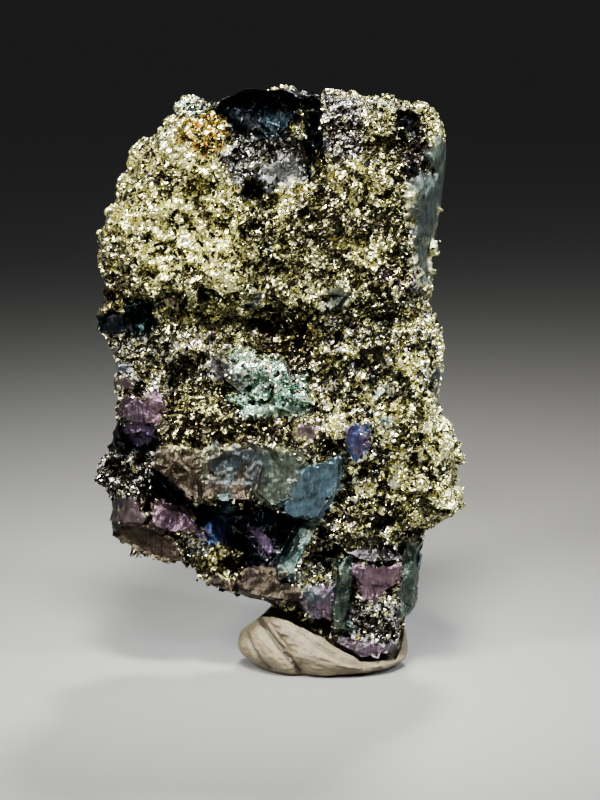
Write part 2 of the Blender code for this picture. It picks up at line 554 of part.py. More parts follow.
def centre_at_base(objects):
    """Puts the origin under the middle of the whole thing, on the surface that it stands on."""
    low, high = corners_of(objects)
    shift = Vector((-0.5 * (low.x + high.x), -0.5 * (low.y + high.y), -low.z))
    holder = bpy.data.objects.new("specimen_on_putty", None)
    bpy.context.scene.collection.objects.link(holder)
    holder.location = shift
    for obj in list(bpy.data.objects):
        if obj != holder:
            obj.parent = holder


def main():
    clear_scene()
    rock = make_material("pyrite and covellite", (0.42, 0.37, 0.2), 0.3, 1.0)
    clay = make_material("tan putty", (0.52, 0.46, 0.36), 0.85, 0.0)
    specimen = make_specimen(rock)
    putty = make_putty(clay, socket_cutter(specimen))
    centre_at_base([specimen, putty])
    bpy.context.view_layer.update()


main()
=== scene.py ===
import random
from math import cos, pi, radians, sin

import bmesh
import bpy
import numpy as np
from mathutils import Euler, Matrix, Vector, noise
from mathutils.bvhtree import BVHTree


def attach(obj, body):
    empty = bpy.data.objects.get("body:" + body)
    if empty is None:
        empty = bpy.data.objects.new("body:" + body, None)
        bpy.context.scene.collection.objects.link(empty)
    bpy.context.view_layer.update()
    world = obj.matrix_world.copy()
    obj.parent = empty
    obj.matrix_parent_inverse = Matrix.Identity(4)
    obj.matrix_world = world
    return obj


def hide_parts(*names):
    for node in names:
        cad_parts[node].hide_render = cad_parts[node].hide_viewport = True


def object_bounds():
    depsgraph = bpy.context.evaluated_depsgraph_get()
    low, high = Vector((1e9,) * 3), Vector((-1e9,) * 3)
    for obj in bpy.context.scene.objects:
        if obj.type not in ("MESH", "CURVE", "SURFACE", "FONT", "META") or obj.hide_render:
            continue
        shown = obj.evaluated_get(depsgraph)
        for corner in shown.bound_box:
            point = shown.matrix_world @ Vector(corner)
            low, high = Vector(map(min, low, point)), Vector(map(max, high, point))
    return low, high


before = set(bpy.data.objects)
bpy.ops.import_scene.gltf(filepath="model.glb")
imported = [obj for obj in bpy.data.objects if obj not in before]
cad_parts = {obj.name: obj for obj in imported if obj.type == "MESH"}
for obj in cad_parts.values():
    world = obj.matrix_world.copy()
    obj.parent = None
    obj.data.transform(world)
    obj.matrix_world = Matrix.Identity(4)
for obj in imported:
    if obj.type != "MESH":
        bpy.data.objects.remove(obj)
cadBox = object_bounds()
mm = 0.001

# Camera: the photograph's viewing angle, on a long lens
view = {
    "elevation": 15.0,
    "distance": 2.0,
    "pixel": 0.104 * mm,       # what one pixel of the photograph spans on the rock
    "middleX": 278.5,          # the pixel column of the model's X = 0
    "floorRow": 661.7,         # the pixel row of the model's origin
    "width": 600,
    "height": 800,
}

viewUp = Vector((0, sin(radians(view["elevation"])), cos(radians(view["elevation"]))))
viewAlong = Vector((0, cos(radians(view["elevation"])), -sin(radians(view["elevation"]))))


def makeCamera():
    data = bpy.data.cameras.new("photoCamera")
    across = (0.5 * view["width"] - view["middleX"]) * view["pixel"]
    above = (view["floorRow"] - 0.5 * view["height"]) * view["pixel"]
    camera = newObject("photoCamera", data)
    camera.location = Vector((across, 0, 0)) + viewUp * above - viewAlong * view["distance"]
    camera.rotation_euler = (radians(90 - view["elevation"]), 0, 0)
    data.lens = data.sensor_width * view["distance"] / (view["height"] * view["pixel"])
    data.clip_start = 0.01
    bpy.context.scene.camera = camera


# Where points of the model show in the photograph, in its pixels
def photoPixels(points):
    column = points[:, 0] / view["pixel"] + view["middleX"]
    row = view["floorRow"] - (points @ np.array(viewUp)) / view["pixel"]
    return np.stack([column, row], axis=1)


# Colours of the minerals, as linear base colours
tints = {
    "paleGold": (1.0, 0.95, 0.44), "gold": (0.86, 0.82, 0.36), "olive": (0.45, 0.43, 0.24),
    "orange": (1.0, 0.60, 0.06), "tan": (0.050, 0.042, 0.030), "bronze": (0.048, 0.036, 0.023),
    "brown": (0.024, 0.017, 0.013), "maroon": (0.045, 0.018, 0.022), "purple": (0.060, 0.036, 0.055),
    "rose": (0.105, 0.066, 0.078), "lilac": (0.12, 0.09, 0.155), "indigo": (0.016, 0.020, 0.060),
    "royal": (0.028, 0.050, 0.125), "slate": (0.062, 0.110, 0.142), "greyBlue": (0.046, 0.058, 0.064),
    "teal": (0.038, 0.076, 0.074), "greyGreen": (0.078, 0.094, 0.074), "paleGreen": (0.52, 0.80, 0.64),
    "darkGreen": (0.012, 0.021, 0.017), "silver": (0.55, 0.54, 0.52), "white": (0.97, 0.97, 0.90),
    "mauve": (0.070, 0.056, 0.064), "grey": (0.06, 0.06, 0.06), "black": (0.007, 0.007, 0.008),
    "night": (0.004, 0.008, 0.011), "khaki": (0.17, 0.155, 0.080), "pewter": (0.090, 0.092, 0.092),
    "sage": (0.062, 0.076, 0.060), "steel": (0.028, 0.036, 0.040), "umber": (0.026, 0.021, 0.014),
    "soot": (0.013, 0.010, 0.008),
}

# Zones of the front, first match wins. Each has a kind, its main and second tint, how much of it the
# second tint takes, how thickly pyrite grains lie on it, how much of it is painted dark as shade, and its
# outline in the photograph's pixels.
frontZones = {
    "crownKnob": ("pyrite", "paleGreen", "paleGold", 0.5, 1.2, 0.55, (
        (180, 98), (200, 96), (202, 112), (190, 120), (178, 114))),
    "crownSparkle": ("druse", "black", "white", 0.35, 0.6, 0.5, (
        (200, 94), (218, 96), (214, 111), (202, 112))),
    "crownHollow": ("hollow", "black", "night", 0.22, 0.0, 0.0, (
        (212, 104), (222, 92), (250, 84), (284, 84), (302, 92), (300, 124), (286, 140), (262, 147),
        (234, 142), (216, 120))),
    "throatEye": ("hollow", "black", "night", 0.3, 0.0, 0.0, (
        (238, 178), (262, 178), (264, 204), (240, 204))),
    "throatSlot": ("hollow", "black", "black", 0.0, 0.0, 0.0, (
        (260, 208), (256, 196), (278, 180), (286, 188))),
    "throatSheen": ("plate", "pewter", "grey", 0.4, 0.1, 0.0, (
        (258, 176), (280, 160), (302, 162), (302, 183), (286, 190), (268, 194))),
    "throatGlints": ("druse", "grey", "silver", 0.4, 0.3, 0.3, (
        (268, 138), (304, 134), (304, 180), (290, 186), (268, 182))),
    "throatBowl": ("druse", "silver", "white", 0.4, 0.5, 0.16, (
        (230, 136), (268, 138), (266, 182), (240, 206), (226, 160))),
    "crevice": ("hollow", "black", "night", 0.2, 0.0, 0.0, (
        (301, 92), (320, 92), (322, 150), (316, 184), (304, 184))),
    "ironSilver": ("druse", "mauve", "silver", 0.5, 0.9, 0.36, (
        (322, 92), (362, 92), (362, 160), (340, 166), (322, 162))),
    "silverRim": ("pyrite", "olive", "silver", 0.25, 0.9, 0.5, (
        (360, 92), (398, 92), (394, 116), (362, 118))),
    "cornerPit": ("hollow", "black", "night", 0.2, 0.0, 0.0, (
        (393, 112), (412, 110), (420, 118), (416, 136), (397, 136))),
    "cornerPurple": ("druse", "mauve", "bronze", 0.4, 0.4, 0.5, (
        (397, 136), (426, 128), (426, 176), (402, 184))),
    "cleavageFace": ("plate", "greyGreen", "greyBlue", 0.4, 0.0, 0.0, (
        (430, 144), (440, 134), (456, 148), (456, 182), (446, 212), (440, 232), (434, 260), (430, 292),
        (419, 286), (412, 250), (404, 214), (404, 190), (420, 165))),
    "orangePatch": ("pyrite", "orange", "gold", 0.5, 1.2, 0.28, (
        (178, 116), (204, 112), (232, 126), (232, 150), (206, 157), (182, 146))),
    "tealFlecks": ("pyrite", "paleGreen", "gold", 0.5, 1.0, 0.2, (
        (224, 138), (252, 140), (252, 166), (226, 166))),
    "purpleFlecks": ("pyrite", "purple", "gold", 0.6, 1.0, 0.15, (
        (140, 172), (168, 172), (170, 192), (142, 192))),
    "leftStriated": ("pyrite", "khaki", "paleGold", 0.3, 0.6, 0.16, (
        (96, 238), (118, 236), (140, 262), (142, 290), (106, 296), (98, 270))),
    "smoothGold": ("pyrite", "gold", "olive", 0.4, 0.6, 0.18, (
        (348, 248), (386, 246), (390, 268), (352, 278))),
    "purpleWaist": ("druse", "mauve", "gold", 0.35, 0.8, 0.45, (
        (368, 256), (422, 256), (430, 296), (400, 306), (372, 300))),
    # Painted reflection: the teal second tint stands for a green reflection in the dark pocket
    "leftHollow": ("hollow", "night", "teal", 0.25, 0.0, 0.0, (
        (126, 300), (158, 300), (158, 334), (130, 338))),
    "leftSpots": ("druse", "indigo", "orange", 0.2, 0.8, 0.4, (
        (96, 288), (128, 288), (126, 308), (98, 308))),
    "beak": ("plate", "black", "night", 0.3, 0.05, 0.0, (
        (90, 308), (130, 312), (134, 334), (112, 338), (90, 332))),
    "darkVug": ("druse", "maroon", "paleGold", 0.3, 0.6, 0.42, (
        (254, 320), (310, 322), (313, 352), (260, 356))),
    "darkBand": ("druse", "olive", "paleGold", 0.35, 1.0, 0.15, (
        (178, 300), (244, 298), (250, 334), (180, 332))),
    "greyLens": ("plate", "greyBlue", "grey", 0.4, 0.1, 0.0, (
        (243, 300), (256, 293), (262, 300), (254, 315), (243, 313))),
    "purpleSliver": ("plate", "purple", "bronze", 0.4, 0.1, 0.0, (
        (162, 296), (172, 292), (181, 302), (178, 310), (166, 304))),
    "waistGrey": ("plate", "greyGreen", "grey", 0.4, 0.2, 0.0, (
        (324, 292), (345, 287), (353, 300), (345, 312), (327, 312))),
    "slateSlab": ("plate", "black", "grey", 0.5, 0.2, 0.0, (
        (208, 354), (226, 360), (250, 384), (240, 394), (212, 380))),
    "blueSpot": ("plate", "royal", "indigo", 0.4, 0.1, 0.0, (
        (114, 366), (128, 363), (135, 372), (120, 377))),
    "pinkLedge": ("plate", "rose", "tan", 0.4, 0.1, 0.0, ((116, 379), (132, 376), (137, 384), (116, 392))),
    "rosePatch": ("plate", "rose", "mauve", 0.5, 0.2, 0.0, (
        (293, 430), (306, 420), (318, 426), (314, 438), (298, 441))),
    "blueSlip": ("plate", "slate", "greyGreen", 0.4, 0.2, 0.0, (
        (370, 392), (384, 384), (397, 382), (390, 393), (374, 403))),
    "tealSlip": ("plate", "teal", "greyGreen", 0.4, 0.2, 0.0, (
        (380, 420), (392, 413), (395, 422), (382, 429))),
    "rightSlip": ("plate", "greyBlue", "darkGreen", 0.4, 0.2, 0.0, (
        (429, 368), (443, 362), (443, 392), (432, 398))),
    "leftSparkle": ("druse", "olive", "silver", 0.3, 0.8, 0.4, (
        (112, 336), (232, 334), (232, 384), (190, 386), (166, 394), (118, 394), (110, 360))),
    "tealPatch": ("pyrite", "paleGreen", "white", 0.35, 0.7, 0.1, (
        (232, 350), (262, 348), (282, 360), (312, 386), (310, 402), (252, 404), (252, 412), (238, 424),
        (234, 384))),
    "tealLens": ("plate", "sage", "paleGreen", 0.25, 0.1, 0.0, (
        (248, 404), (308, 402), (306, 416), (252, 418))),
    "leftPurple": ("plate", "purple", "rose", 0.4, 0.15, 0.0, (
        (114, 404), (126, 395), (140, 400), (148, 393), (155, 388), (163, 396), (166, 411), (159, 423),
        (146, 428), (128, 420), (115, 415))),
    "leftIndigo": ("plate", "purple", "indigo", 0.4, 0.0, 0.0, (
        (126, 420), (162, 420), (160, 437), (128, 438))),
    "leftBlack": ("hollow", "black", "night", 0.3, 0.0, 0.0, (
        (108, 420), (166, 434), (160, 452), (128, 456), (106, 450))),
    "knob": ("druse", "black", "white", 0.3, 1.0, 0.5, (
        (86, 440), (150, 446), (152, 492), (110, 494), (86, 484))),
    "noduleTop": ("druse", "bronze", "gold", 0.38, 0.5, 0.38, (
        (165, 384), (236, 384), (246, 430), (250, 444), (200, 446), (160, 442))),
    "noduleBrown": ("plate", "umber", "brown", 0.35, 0.0, 0.0, (
        (156, 444), (202, 448), (204, 500), (192, 504), (150, 466))),
    "noduleTan": ("plate", "umber", "brown", 0.4, 0.05, 0.0, (
        (200, 484), (254, 484), (254, 500), (200, 499))),
    "noduleBlue": ("plate", "steel", "umber", 0.35, 0.0, 0.0, (
        (204, 444), (262, 444), (270, 470), (262, 490), (252, 486), (206, 484))),
    "noduleGreen": ("plate", "sage", "greyGreen", 0.35, 0.0, 0.0, (
        (262, 446), (302, 448), (306, 466), (300, 478), (284, 508), (254, 500))),
    "noduleCap": ("druse", "mauve", "gold", 0.35, 0.5, 0.42, (
        (250, 418), (312, 416), (330, 440), (306, 450), (262, 446), (246, 440))),
    "blueFlake": ("plate", "royal", "indigo", 0.4, 0.05, 0.0, (
        (343, 424), (372, 424), (368, 458), (346, 462))),
    "blueBlade": ("plate", "slate", "greyBlue", 0.3, 0.0, 0.0, (
        (281, 513), (300, 478), (306, 464), (326, 462), (342, 452), (343, 476), (336, 496), (320, 520),
        (300, 519))),
    "greenBlade": ("plate", "greyGreen", "slate", 0.35, 0.0, 0.0, (
        (303, 520), (322, 518), (314, 536), (302, 556), (290, 582), (274, 570), (282, 548), (292, 534))),
    "lilacArc": ("plate", "lilac", "purple", 0.3, 0.0, 0.0, (
        (250, 528), (262, 530), (272, 540), (272, 556), (262, 548))),
    "indigoPlate": ("plate", "indigo", "royal", 0.4, 0.0, 0.0, (
        (204, 510), (226, 510), (228, 546), (206, 546))),
    "tealArcs": ("plate", "teal", "night", 0.4, 0.0, 0.0, ((218, 497), (242, 497), (242, 516), (220, 516))),
    # Painted shadow: black where the nodule's lip casts its shade
    "overhangShadow": ("hollow", "black", "night", 0.2, 0.0, 0.0, (
        (144, 464), (160, 474), (194, 506), (280, 504), (302, 520), (290, 530), (250, 530), (200, 512),
        (160, 502), (140, 482))),
    "roseBoulder": ("plate", "purple", "rose", 0.5, 0.05, 0.0, (
        (150, 502), (196, 504), (196, 530), (152, 532))),
    "pinkTriangle": ("plate", "rose", "grey", 0.4, 0.0, 0.0, (
        (108, 492), (146, 500), (142, 523), (108, 524))),
    "brownFoot": ("plate", "brown", "black", 0.25, 0.0, 0.0, (
        (106, 522), (136, 519), (162, 527), (174, 536), (186, 558), (169, 565), (152, 559), (138, 554),
        (106, 537))),
    "whiteSparkle": ("pyrite", "white", "silver", 0.4, 1.3, 0.12, (
        (184, 538), (206, 538), (206, 554), (186, 554))),
    "goldDruse": ("pyrite", "gold", "brown", 0.35, 1.0, 0.4, (
        (192, 546), (236, 548), (238, 578), (212, 578), (194, 570))),
    "darkSole": ("plate", "black", "brown", 0.4, 0.1, 0.0, (
        (190, 568), (222, 570), (222, 590), (190, 590))),
    "hollowBelow": ("hollow", "black", "night", 0.3, 0.02, 0.0, (
        (198, 504), (302, 510), (300, 568), (236, 568), (206, 546))),
    "bronzeSole": ("plate", "soot", "brown", 0.4, 0.1, 0.0, (
        (222, 564), (298, 566), (302, 604), (268, 606), (222, 594))),
    "brightSparkle": ("pyrite", "white", "paleGold", 0.4, 1.4, 0.28, (
        (297, 564), (326, 564), (326, 588), (300, 588))),
    "greyBluePatch": ("plate", "steel", "purple", 0.4, 0.1, 0.0, (
        (300, 582), (336, 582), (340, 618), (312, 622), (298, 606))),
    "greenRib": ("plate", "darkGreen", "black", 0.3, 0.0, 0.0, (
        (334, 554), (354, 552), (352, 632), (340, 636), (334, 590))),
    "fanSlit": ("hollow", "black", "black", 0.0, 0.0, 0.0, (
        (362, 557), (402, 557), (402, 564), (362, 565))),
    "roseFan": ("plate", "rose", "purple", 0.45, 0.05, 0.0, (
        (350, 562), (402, 560), (400, 580), (384, 590), (376, 604), (364, 598), (354, 582))),
    "silverToe": ("druse", "grey", "silver", 0.45, 0.9, 0.4, (
        (340, 600), (398, 600), (396, 642), (344, 640))),
    "purpleTip": ("plate", "purple", "grey", 0.45, 0.05, 0.0, (
        (330, 634), (400, 634), (400, 670), (330, 670))),
    "tealFlank": ("plate", "darkGreen", "sage", 0.35, 0.0, 0.0, (
        (400, 542), (430, 540), (424, 582), (418, 620), (398, 616))),
    "brightCheek": ("pyrite", "paleGold", "gold", 0.4, 1.3, 0.15, (
        (424, 398), (450, 400), (470, 430), (470, 452), (426, 454))),
    "cheek": ("pyrite", "gold", "olive", 0.35, 1.2, 0.34, (
        (394, 400), (474, 400), (474, 524), (440, 520), (428, 530), (396, 532))),
    "rightMix": ("pyrite", "gold", "silver", 0.28, 1.0, 0.44, (
        (312, 298), (452, 298), (452, 402), (396, 420), (396, 548), (344, 552), (322, 524), (344, 482),
        (344, 452), (322, 430), (312, 404))),
    "shoulder": ("pyrite", "paleGold", "gold", 0.35, 1.2, 0.22, (
        (90, 150), (242, 150), (250, 240), (236, 290), (90, 292))),
    "shoulderTop": ("pyrite", "gold", "olive", 0.5, 1.0, 0.45, (
        (110, 90), (240, 90), (240, 150), (110, 150))),
    "rightShoulder": ("pyrite", "gold", "olive", 0.4, 1.0, 0.42, (
        (250, 150), (430, 90), (430, 262), (250, 262))),
    "waist": ("pyrite", "olive", "paleGold", 0.45, 1.1, 0.18, (
        (90, 240), (452, 240), (452, 350), (90, 350))),
    "underSide": ("druse", "bronze", "olive", 0.45, 0.45, 0.5, (
        (80, 350), (480, 350), (480, 700), (80, 700))),
}

# Zones of the back, as they would show through the rock from the front
backZones = {
    "backPlateTop": ("plate", "slate", "purple", 0.45, 0.15, 0.0, (
        (186, 186), (214, 160), (236, 172), (262, 152), (286, 178), (276, 214), (248, 222), (236, 250),
        (204, 238))),
    "backPlateBlue": ("plate", "indigo", "slate", 0.4, 0.15, 0.0, (
        (306, 132), (330, 112), (366, 128), (358, 170), (376, 196), (348, 232), (322, 214), (326, 176))),
    "backCleavage": ("plate", "greyGreen", "greyBlue", 0.4, 0.0, 0.0, (
        (384, 166), (412, 124), (456, 118), (454, 214), (436, 300), (404, 262), (380, 228))),
    "backSilver": ("druse", "grey", "silver", 0.4, 0.6, 0.4, (
        (262, 96), (330, 90), (320, 128), (292, 160), (268, 140))),
    "backHollow": ("hollow", "black", "indigo", 0.3, 0.0, 0.0, (
        (222, 318), (248, 288), (292, 296), (318, 282), (342, 322), (316, 358), (276, 350), (240, 366))),
    "backPurple": ("plate", "purple", "rose", 0.4, 0.1, 0.0, (
        (128, 318), (156, 286), (188, 300), (216, 288), (220, 330), (196, 362), (164, 348), (138, 366))),
    "backGreen": ("pyrite", "paleGreen", "gold", 0.5, 0.9, 0.3, (
        (346, 300), (376, 284), (410, 312), (398, 352), (362, 346))),
    "backNodule": ("plate", "bronze", "purple", 0.4, 0.15, 0.0, (
        (196, 400), (232, 376), (268, 390), (302, 380), (318, 424), (300, 474), (258, 462), (222, 486),
        (200, 446))),
    "backTeal": ("plate", "teal", "sage", 0.4, 0.1, 0.0, (
        (322, 410), (348, 394), (372, 408), (384, 450), (366, 494), (338, 482), (318, 452))),
    "backRose": ("plate", "rose", "indigo", 0.5, 0.1, 0.0, (
        (134, 470), (166, 446), (196, 462), (218, 486), (206, 534), (168, 524), (140, 536))),
    "backToe": ("plate", "slate", "brown", 0.5, 0.15, 0.0, (
        (258, 536), (300, 512), (352, 526), (396, 508), (414, 566), (400, 640), (350, 618), (304, 640),
        (276, 590))),
    "backDruse": ("druse", "bronze", "gold", 0.4, 0.6, 0.5, (
        (60, 372), (120, 392), (170, 372), (220, 396), (290, 370), (350, 392), (400, 370), (500, 396),
        (480, 700), (80, 700))),
    "backGold": ("pyrite", "gold", "olive", 0.5, 1.0, 0.35, ((60, 60), (500, 60), (500, 420), (60, 400))),
}


# A true for each pixel place that lies inside an outline
def insideOutline(places, outline):
    inside = np.zeros(len(places), dtype=bool)
    for (xA, yA), (xB, yB) in zip(outline, outline[1:] + outline[:1]):
        if yA == yB:
            continue
        crosses = (places[:, 1] < yA) != (places[:, 1] < yB)
        edge = xA + (places[:, 1] - yA) * (xB - xA) / (yB - yA)
        inside ^= crosses & (places[:, 0] < edge)
    return inside


def noiseOver(points, scale, seed):
    shift = Vector((seed, -seed, 0.5 * seed))
    return np.array([noise.noise(Vector(p) * scale + shift) for p in points])


def strayOver(points, scale, seeds):
    return np.stack([noiseOver(points, scale, seed) for seed in seeds], axis=1)


# Where zones meet. A stray has a scale per metre, two seeds and a reach in pixels, and a wave of the
# border between front and back has a scale, a seed and a height in metres.
borders = {
    "strays": ((900, (3, 8), 9), (3000, (5, 6), 6)),
    "backFrom": 0.0015,
    "backWaves": ((170, 12, 0.0045), (620, 13, 0.0018)),
}


# The number of the zone that each point lies in, front zones first and then the back's
def zoneNumbers(points):
    stray = sum(strayOver(points, scale, seeds) * reach for scale, seeds, reach in borders["strays"])
    places = photoPixels(points) + stray
    limit = borders["backFrom"]
    for scale, seed, height in borders["backWaves"]:
        limit = limit + height * noiseOver(points, scale, seed)
    isFront = points[:, 1] < limit
    numbers = np.full(len(points), len(zoneTable) - 1)
    free = np.ones(len(points), dtype=bool)
    for number, (name, zone, atFront) in enumerate(zoneTable):
        hit = free & (isFront if atFront else ~isFront) & insideOutline(places, zone[6])
        numbers[hit] = number
        free &= ~hit
    return numbers


zoneTable = [(name, zone, True) for name, zone in frontZones.items()]
zoneTable += [(name, zone, False) for name, zone in backZones.items()]
zoneTints = {
    "tint": np.array([(*tints[zone[1]], zone[5]) for _, zone, _ in zoneTable]),
    "fleck": np.array([(*tints[zone[2]], zone[3]) for _, zone, _ in zoneTable]),
}
kinds = ["pyrite", "druse", "plate", "hollow"]


def newObject(name, data):
    obj = bpy.data.objects.new(name, data)
    bpy.context.scene.collection.objects.link(obj)
    return obj


# A mesh made from a finished bmesh, which is freed
def meshFrom(bm, name):
    mesh = bpy.data.meshes.new(name)
    bm.to_mesh(mesh)
    bm.free()
    return mesh


# One field of all points or faces of a mesh, as an array
def gather(items, field, width=1, kind=float):
    values = np.empty(len(items) * width, dtype=kind)
    items.foreach_get(field, values)
    return values.reshape(-1, width) if width > 1 else values


# Gives each point of a mesh its two tints
def paintLayers(mesh, tint, fleck):
    for part, values in (("tint", tint), ("fleck", fleck)):
        layer = mesh.color_attributes.new(part, "FLOAT_COLOR", "POINT")
        layer.data.foreach_set("color", np.array(values).ravel())


# Cuts the edges over a length in half, as many times as asked, in triangles
def splitLong(bm, limit, times, rimToo=True):
    for _ in range(times):
        edges = [edge for edge in bm.edges if rimToo or not edge.is_boundary]
        bmesh.ops.subdivide_edges(bm, edges=[edge for edge in edges if edge.calc_length() > limit], cuts=1)
        bmesh.ops.triangulate(bm, faces=[face for face in bm.faces if len(face.verts) > 3])


def smoothVerts(bm, verts, times):
    axes = {"use_axis_x": True, "use_axis_y": True, "use_axis_z": True}
    for _ in range(times):
        bmesh.ops.smooth_vert(bm, verts=verts, factor=0.5, **axes)


# Makes a sheet into a closed plate with its back moved away
def thicken(bm, shift):
    solid = bmesh.ops.extrude_face_region(bm, geom=list(bm.faces))
    back = [item for item in solid["geom"] if isinstance(item, bmesh.types.BMVert)]
    bmesh.ops.translate(bm, verts=back, vec=shift)
    bmesh.ops.recalc_face_normals(bm, faces=bm.faces)


# Adds a finished plate to the others, and gives its points
def joinPlate(target, bm):
    piece = meshFrom(bm, "plate")
    target.from_mesh(piece)
    places = gather(piece.vertices, "co", 3)
    bpy.data.meshes.remove(piece)
    return places


# For each place in the photograph: how far a line is, the line's nearest place and the side it lies on
def nearestOn(line, places):
    nearest = np.full(len(places), 1e9)
    target = places.copy()
    side = np.zeros(len(places))
    for start, end in zip(line, line[1:]):
        span = end - start
        along = np.clip((places - start) @ span / (span @ span), 0, 1)
        away = places - start - along[:, None] * span
        distance = np.linalg.norm(away, axis=1)
        closer = distance < nearest
        nearest[closer] = distance[closer]
        target[closer] = (places - away)[closer]
        side[closer] = (span[0] * away[:, 1] - span[1] * away[:, 0])[closer]
    return nearest, target, side


def makeNodes(name):
    material = bpy.data.materials.new(name)
    material.use_nodes = True
    return material, material.node_tree, material.node_tree.nodes["Principled BSDF"]


# Sets each input of a node, or links it where its value is another node's socket
def setInputs(node, inputs):
    for key, value in inputs.items():
        if isinstance(value, bpy.types.NodeSocket):
            node.id_data.links.new(value, node.inputs[key])
        else:
            node.inputs[key].default_value = value


def addNode(tree, kind, inputs=None, **settings):
    node = tree.nodes.new(kind)
    for key, value in settings.items():
        setattr(node, key, value)
    setInputs(node, inputs or {})
    return node


def doMath(tree, operation, first, second):
    return addNode(tree, "ShaderNodeMath", {0: first, 1: second}, operation=operation).outputs[0]


def doVector(tree, operation, inputs):
    return addNode(tree, "ShaderNodeVectorMath", inputs, operation=operation).outputs["Vector"]


def noisePattern(tree, scale, detail, coords):
    return addNode(tree, "ShaderNodeTexNoise", {"Scale": scale, "Detail": detail, "Vector": coords})


# Thin lines along the borders of cells
def cellBorders(tree, scale, width, coords):
    pattern = {"Scale": scale, "Vector": coords}
    cells = addNode(tree, "ShaderNodeTexVoronoi", pattern, feature="DISTANCE_TO_EDGE")
    return doMath(tree, "LESS_THAN", cells.outputs["Distance"], width)


def spread(tree, source, low, high, fromLow=0.0, fromHigh=1.0):
    ends = {"From Min": fromLow, "From Max": fromHigh, "To Min": low, "To Max": high}
    return addNode(tree, "ShaderNodeMapRange", {"Value": source, **ends}).outputs["Result"]


# How the rock's surfaces look. Scales are per metre, and a layer of cells has a scale and a tilt.
finish = {
    "pyriteCells": ((850, 0.34), (2900, 0.76), (6000, 0.55)),
    "druseCells": ((850, 0.34), (2700, 0.8), (5600, 0.55)),
    "plateCells": ((700, 0.16), (3600, 0.22)),
    "cellTurn": -38,           # degrees, along the pyrite's flow lines
    "grainStretch": 1.5,
    "fineShadeShare": 0.5,          # painted shade in the fine cells, against the coarse ones
    # how much darker the cells painted as shade are
    "darkening": 0.965,
    "leastTint": (0.012, 0.010, 0.006),
    "clouds": 620,
    "patches": 1500,
    "mottle": (0.62, 1.2, 0.36, 0.62),     # darkest, lightest, and the pattern's range for them
    "lineTurn": (0.3, 0.5, 0.2),
    "lineStretch": 0.07,
    "lineShades": (0.2, 1.8),
    "lineBump": 0.4,
    "hueDrift": 3.5,
    "scratches": (620, 0.018, 0.53),       # scale, width and how much of them is broken off
}


# Grains that each turn the surface their own way: cell colours of a Voronoi pattern bend the normal
def facetNormal(tree, layers, stretch=1.0):
    coords = addNode(tree, "ShaderNodeTexCoord").outputs["Object"]
    turn = {"Vector": coords, "Rotation": (0, radians(finish["cellTurn"]), 0), "Scale": (stretch, 1, 1)}
    turned = addNode(tree, "ShaderNodeMapping", turn, vector_type="TEXTURE").outputs["Vector"]
    normal = addNode(tree, "ShaderNodeNewGeometry").outputs["Normal"]
    cellParts = []
    for scale, tilt in layers:
        colour = addNode(tree, "ShaderNodeTexVoronoi", {"Scale": scale, "Vector": turned}).outputs["Color"]
        centred = doVector(tree, "SUBTRACT", {0: colour, 1: (0.5, 0.5, 0.5)})
        normal = doVector(tree, "MULTIPLY_ADD", {0: centred, 1: (tilt, tilt, tilt), 2: normal})
        cellParts.append(addNode(tree, "ShaderNodeSeparateColor", {0: colour}).outputs)
    return doVector(tree, "NORMALIZE", {0: normal}), cellParts, coords


def tintNodes(tree):
    return [addNode(tree, "ShaderNodeAttribute", attribute_name=part) for part in ("tint", "fleck")]


# The zone's tint, or its second tint where the chooser says so, made lighter or darker by a shade
def tinted(tree, tint, fleck, chooser, shade):
    colours = {"Factor": chooser, 6: tint.outputs["Color"], 7: fleck.outputs["Color"]}
    mixed = addNode(tree, "ShaderNodeMix", colours, data_type="RGBA")
    return doVector(tree, "SCALE", {0: mixed.outputs[2], "Scale": shade})


# Pyrite and other granular parts: each grain has its own tilt, tint and shine, and some are painted nearly
# black as shade
def grainyMaterial(name, layers, shades, roughness):
    material, tree, shader = makeNodes(name)
    tint, fleck = tintNodes(tree)
    normal, (_, coarse, fine), coords = facetNormal(tree, layers, finish["grainStretch"])
    isFleck = doMath(tree, "LESS_THAN", coarse[1], fleck.outputs["Alpha"])
    # Painted shade: cells within the dark share get a nearly black colour, for grains turned from the light
    # and the gaps between them
    isDark = doMath(tree, "LESS_THAN", coarse[0], tint.outputs["Alpha"])
    fineShadeShare = doMath(tree, "MULTIPLY", tint.outputs["Alpha"], finish["fineShadeShare"])
    darkness = doMath(tree, "MAXIMUM", isDark, doMath(tree, "LESS_THAN", fine[0], fineShadeShare))
    light = doMath(tree, "SUBTRACT", 1.0, doMath(tree, "MULTIPLY", darkness, finish["darkening"]))
    shade = doMath(tree, "MULTIPLY", light, spread(tree, fine[1], *shades))
    colour = doVector(tree, "ADD", {0: tinted(tree, tint, fleck, isFleck, shade), 1: finish["leastTint"]})
    rough = spread(tree, fine[2], *roughness)
    setInputs(shader, {"Base Color": colour, "Roughness": rough, "Normal": normal, "Metallic": 1.0})
    return material


